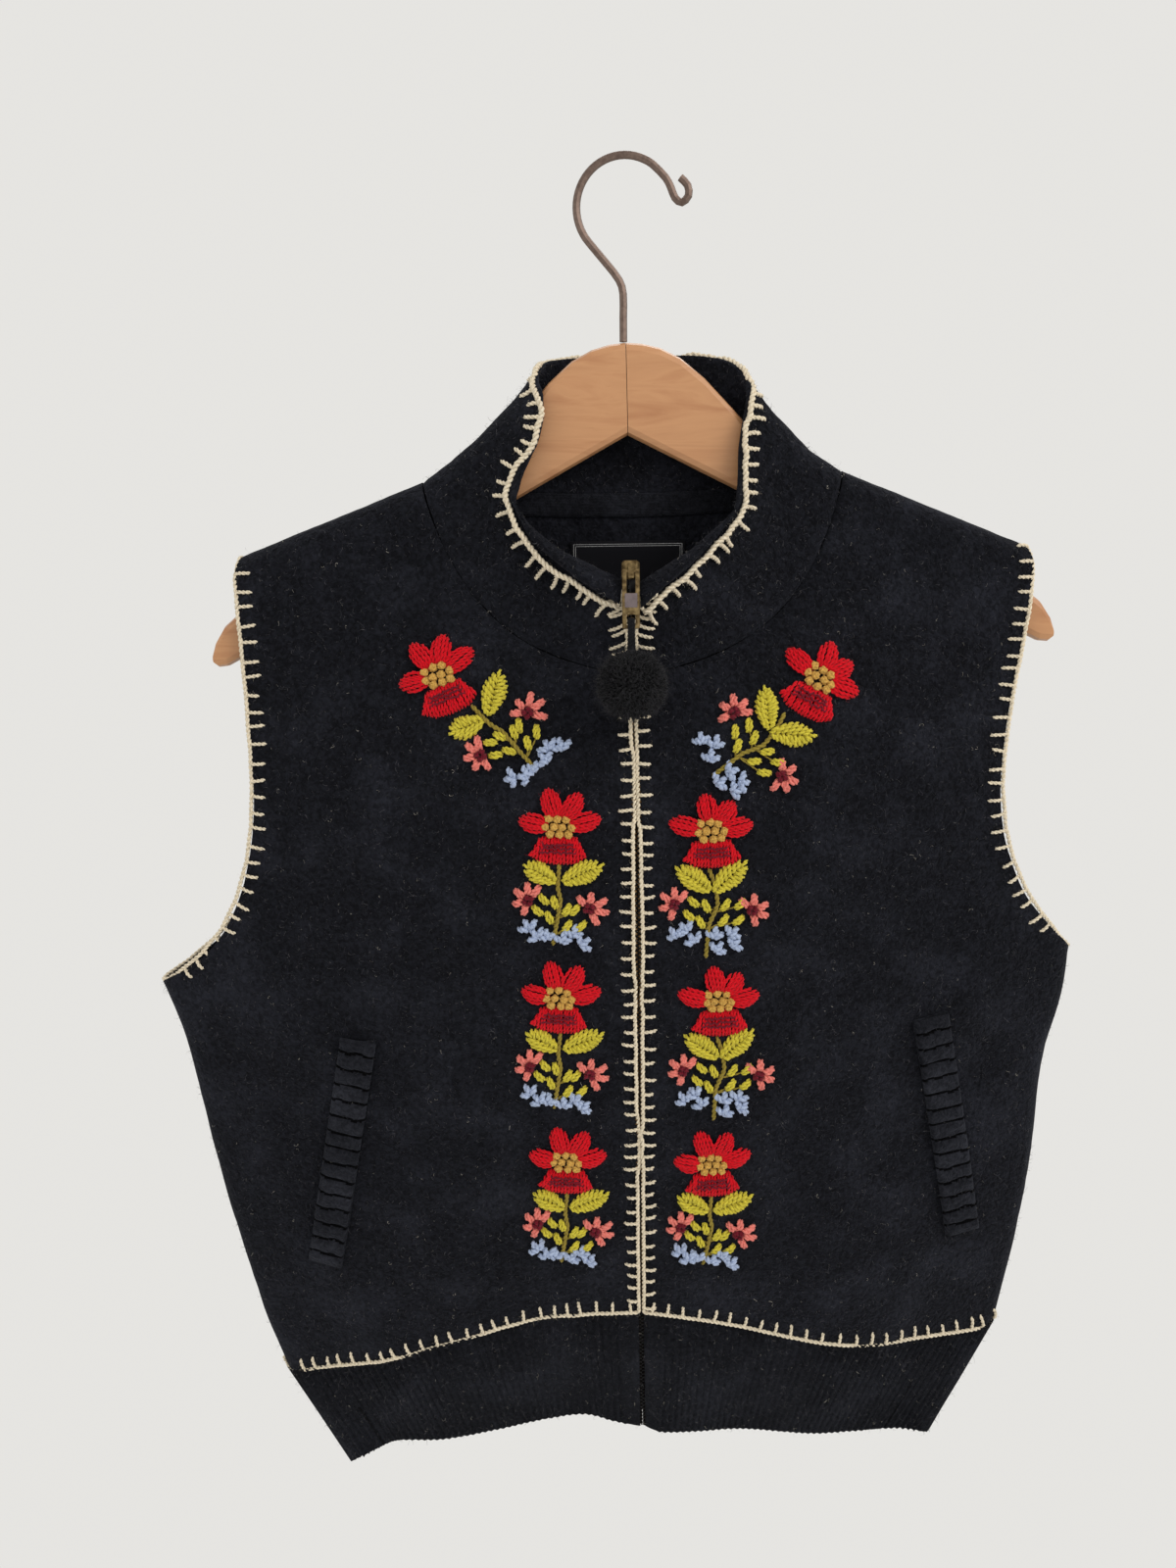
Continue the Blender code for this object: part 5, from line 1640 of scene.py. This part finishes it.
def roots_on(mesh, count, keep=None):
    """Random places on a mesh and their normals, spread by area."""
    mesh.calc_loop_triangles()
    points = points_of(mesh)
    corners = np.array([t.vertices for t in mesh.loop_triangles])
    a, b, c = (points[corners[:, k]] for k in range(3))
    cross = np.cross(b - a, c - a)
    size = np.linalg.norm(cross, axis=1)
    normals = cross / (size[:, None] + 1e-15)
    if keep is not None:
        size = size * keep((a + b + c) / 3, normals)
    chosen = chance.choice(len(size), count, p=size / size.sum())
    u, v = chance.uniform(0, 1, (2, count))
    fold = u + v > 1
    u[fold], v[fold] = 1 - u[fold], 1 - v[fold]
    spots = a[chosen] + (b - a)[chosen] * u[:, None] + (c - a)[chosen] * v[:, None]
    return spots, normals[chosen]


# %% Curled fibres
FIBRE_STEPS = 4


def fibres(name, roots, normals, length, width, finish, body="vest", lie=0.35, curl=0.9):
    """A mesh of curled ribbons; length and width are in millimetres."""
    count = len(roots)
    way = unit(normals * lie + chance.normal(0, 0.6, (count, 3)))
    inwards = np.sum(way * normals, axis=1)
    way += normals * (np.abs(inwards) - inwards)[:, None]
    axis = unit(chance.normal(0, 1, (count, 3)))
    step = (length * MM * chance.uniform(0.5, 1.3, count) / FIBRE_STEPS)[:, None]
    spine = [roots - normals * 0.15 * MM]
    for _ in range(FIBRE_STEPS):
        spine.append(spine[-1] + way * step)
        way = unit(way + np.cross(axis, way) * curl)
    spine = np.stack(spine, axis=1)
    across = np.cross(axis, spine[:, 1] - spine[:, 0])
    across /= np.linalg.norm(across, axis=1)[:, None] + 1e-12
    half = width * MM / 2 * np.linspace(1, 0.5, FIBRE_STEPS + 1)
    left = spine - across[:, None, :] * half[None, :, None]
    right = spine + across[:, None, :] * half[None, :, None]
    rows = FIBRE_STEPS + 1
    points = np.stack([left, right], axis=2).reshape(-1, 3)
    first = (np.arange(count) * rows * 2)[:, None] + (np.arange(FIBRE_STEPS) * 2)[None, :]
    quads = np.stack([first, first + 1, first + 3, first + 2], axis=2).reshape(-1, 4)
    mesh = bpy.data.meshes.new(name)
    mesh.from_pydata(points.tolist(), [], quads.tolist())
    made = place_object(name, mesh, finish, body)
    print(name, "triangles", 2 * len(quads))
    return made


# %% [markdown]
# The cloth's fibres grow from its outer side, and the collar's from both sides. Long ones would read
# as fur, so they are about four millimetres long. One in twelve is lint.

# %% Fibre on the cloth
dark_fibre = two_tones("dark_fibre", 0.9, 300, 3, (0.3, tone(30, 30, 35)), (0.7, tone(96, 94, 98)))
lint = two_tones("pale_lint", 0.9, 120, 3, (0.35, tone(90, 88, 88)), (0.65, tone(190, 184, 172)))
FUZZ = {"front_left": 5600, "front_right": 5600, "back": 5200, "collar": 4600, "band_left": 1400,
        "band_right": 1400, "band_back": 1500, "pocket_welt_left": 260, "pocket_welt_right": 260}
OUT_WAY = {"back": 1, "band_back": 1}


def outer_side(sign):
    return lambda places, normals: 0.08 + np.clip(normals[:, 1] * sign, 0, 1)


for node, count in FUZZ.items():
    keep = None if node == "collar" else outer_side(OUT_WAY.get(node, -1))
    roots, normals = roots_on(shells[node].data, count, keep)
    fibres(f"{node}_fibre", roots, normals, 4.0, 0.17, dark_fibre)
    roots, normals = roots_on(shells[node].data, count // 11, keep)
    fibres(f"{node}_lint", roots, normals, 3.0, 0.2, lint, curl=1.4)

# %% [markdown]
# The yarn is hairy too: cream fibres on the stitches, red ones on the flowers, and a dense black coat
# on the pompom, where each grows straight out.

# %% Fibre on the yarn
pale_fibre = two_tones("pale_fibre", 0.9, 300, 3, (0.3, tone(150, 140, 122)),
                       (0.7, tone(222, 210, 186)))
red_fibre = two_tones("red_fibre", 0.9, 300, 3, (0.3, tone(120, 8, 20)), (0.7, tone(196, 20, 34)))
pompom_fibre = two_tones("pompom_fibre", 0.9, 300, 3, (0.3, tone(14, 14, 17)),
                         (0.7, tone(52, 51, 56)))
roots, normals = roots_on(bpy.data.objects["blanket_stitch"].data, 4200)
fibres("blanket_stitch_fibre", roots, normals, 3.0, 0.09, pale_fibre)
for name in SPRIGS:
    roots, normals = roots_on(bpy.data.objects[f"sprig_{name}_red"].data, 350)
    fibres(f"sprig_{name}_fibre", roots, normals, 2.6, 0.09, red_fibre)
pom_ways = round_ways(3000, 0.1)
fibres("pompom_fibre", pom_centre + pom_ways * pom_radius * 0.92, pom_ways, 6.5, 0.16, pompom_fibre,
       "pull", lie=0.8)

# %% [markdown]
# ## Cloth facts
# The flat size of each piece's cut is listed in CUTS, and the zip tapes are added here.

# %% Sheets
CUTS["zip_left"] = CUTS["zip_right"] = (0.014, 0.506)
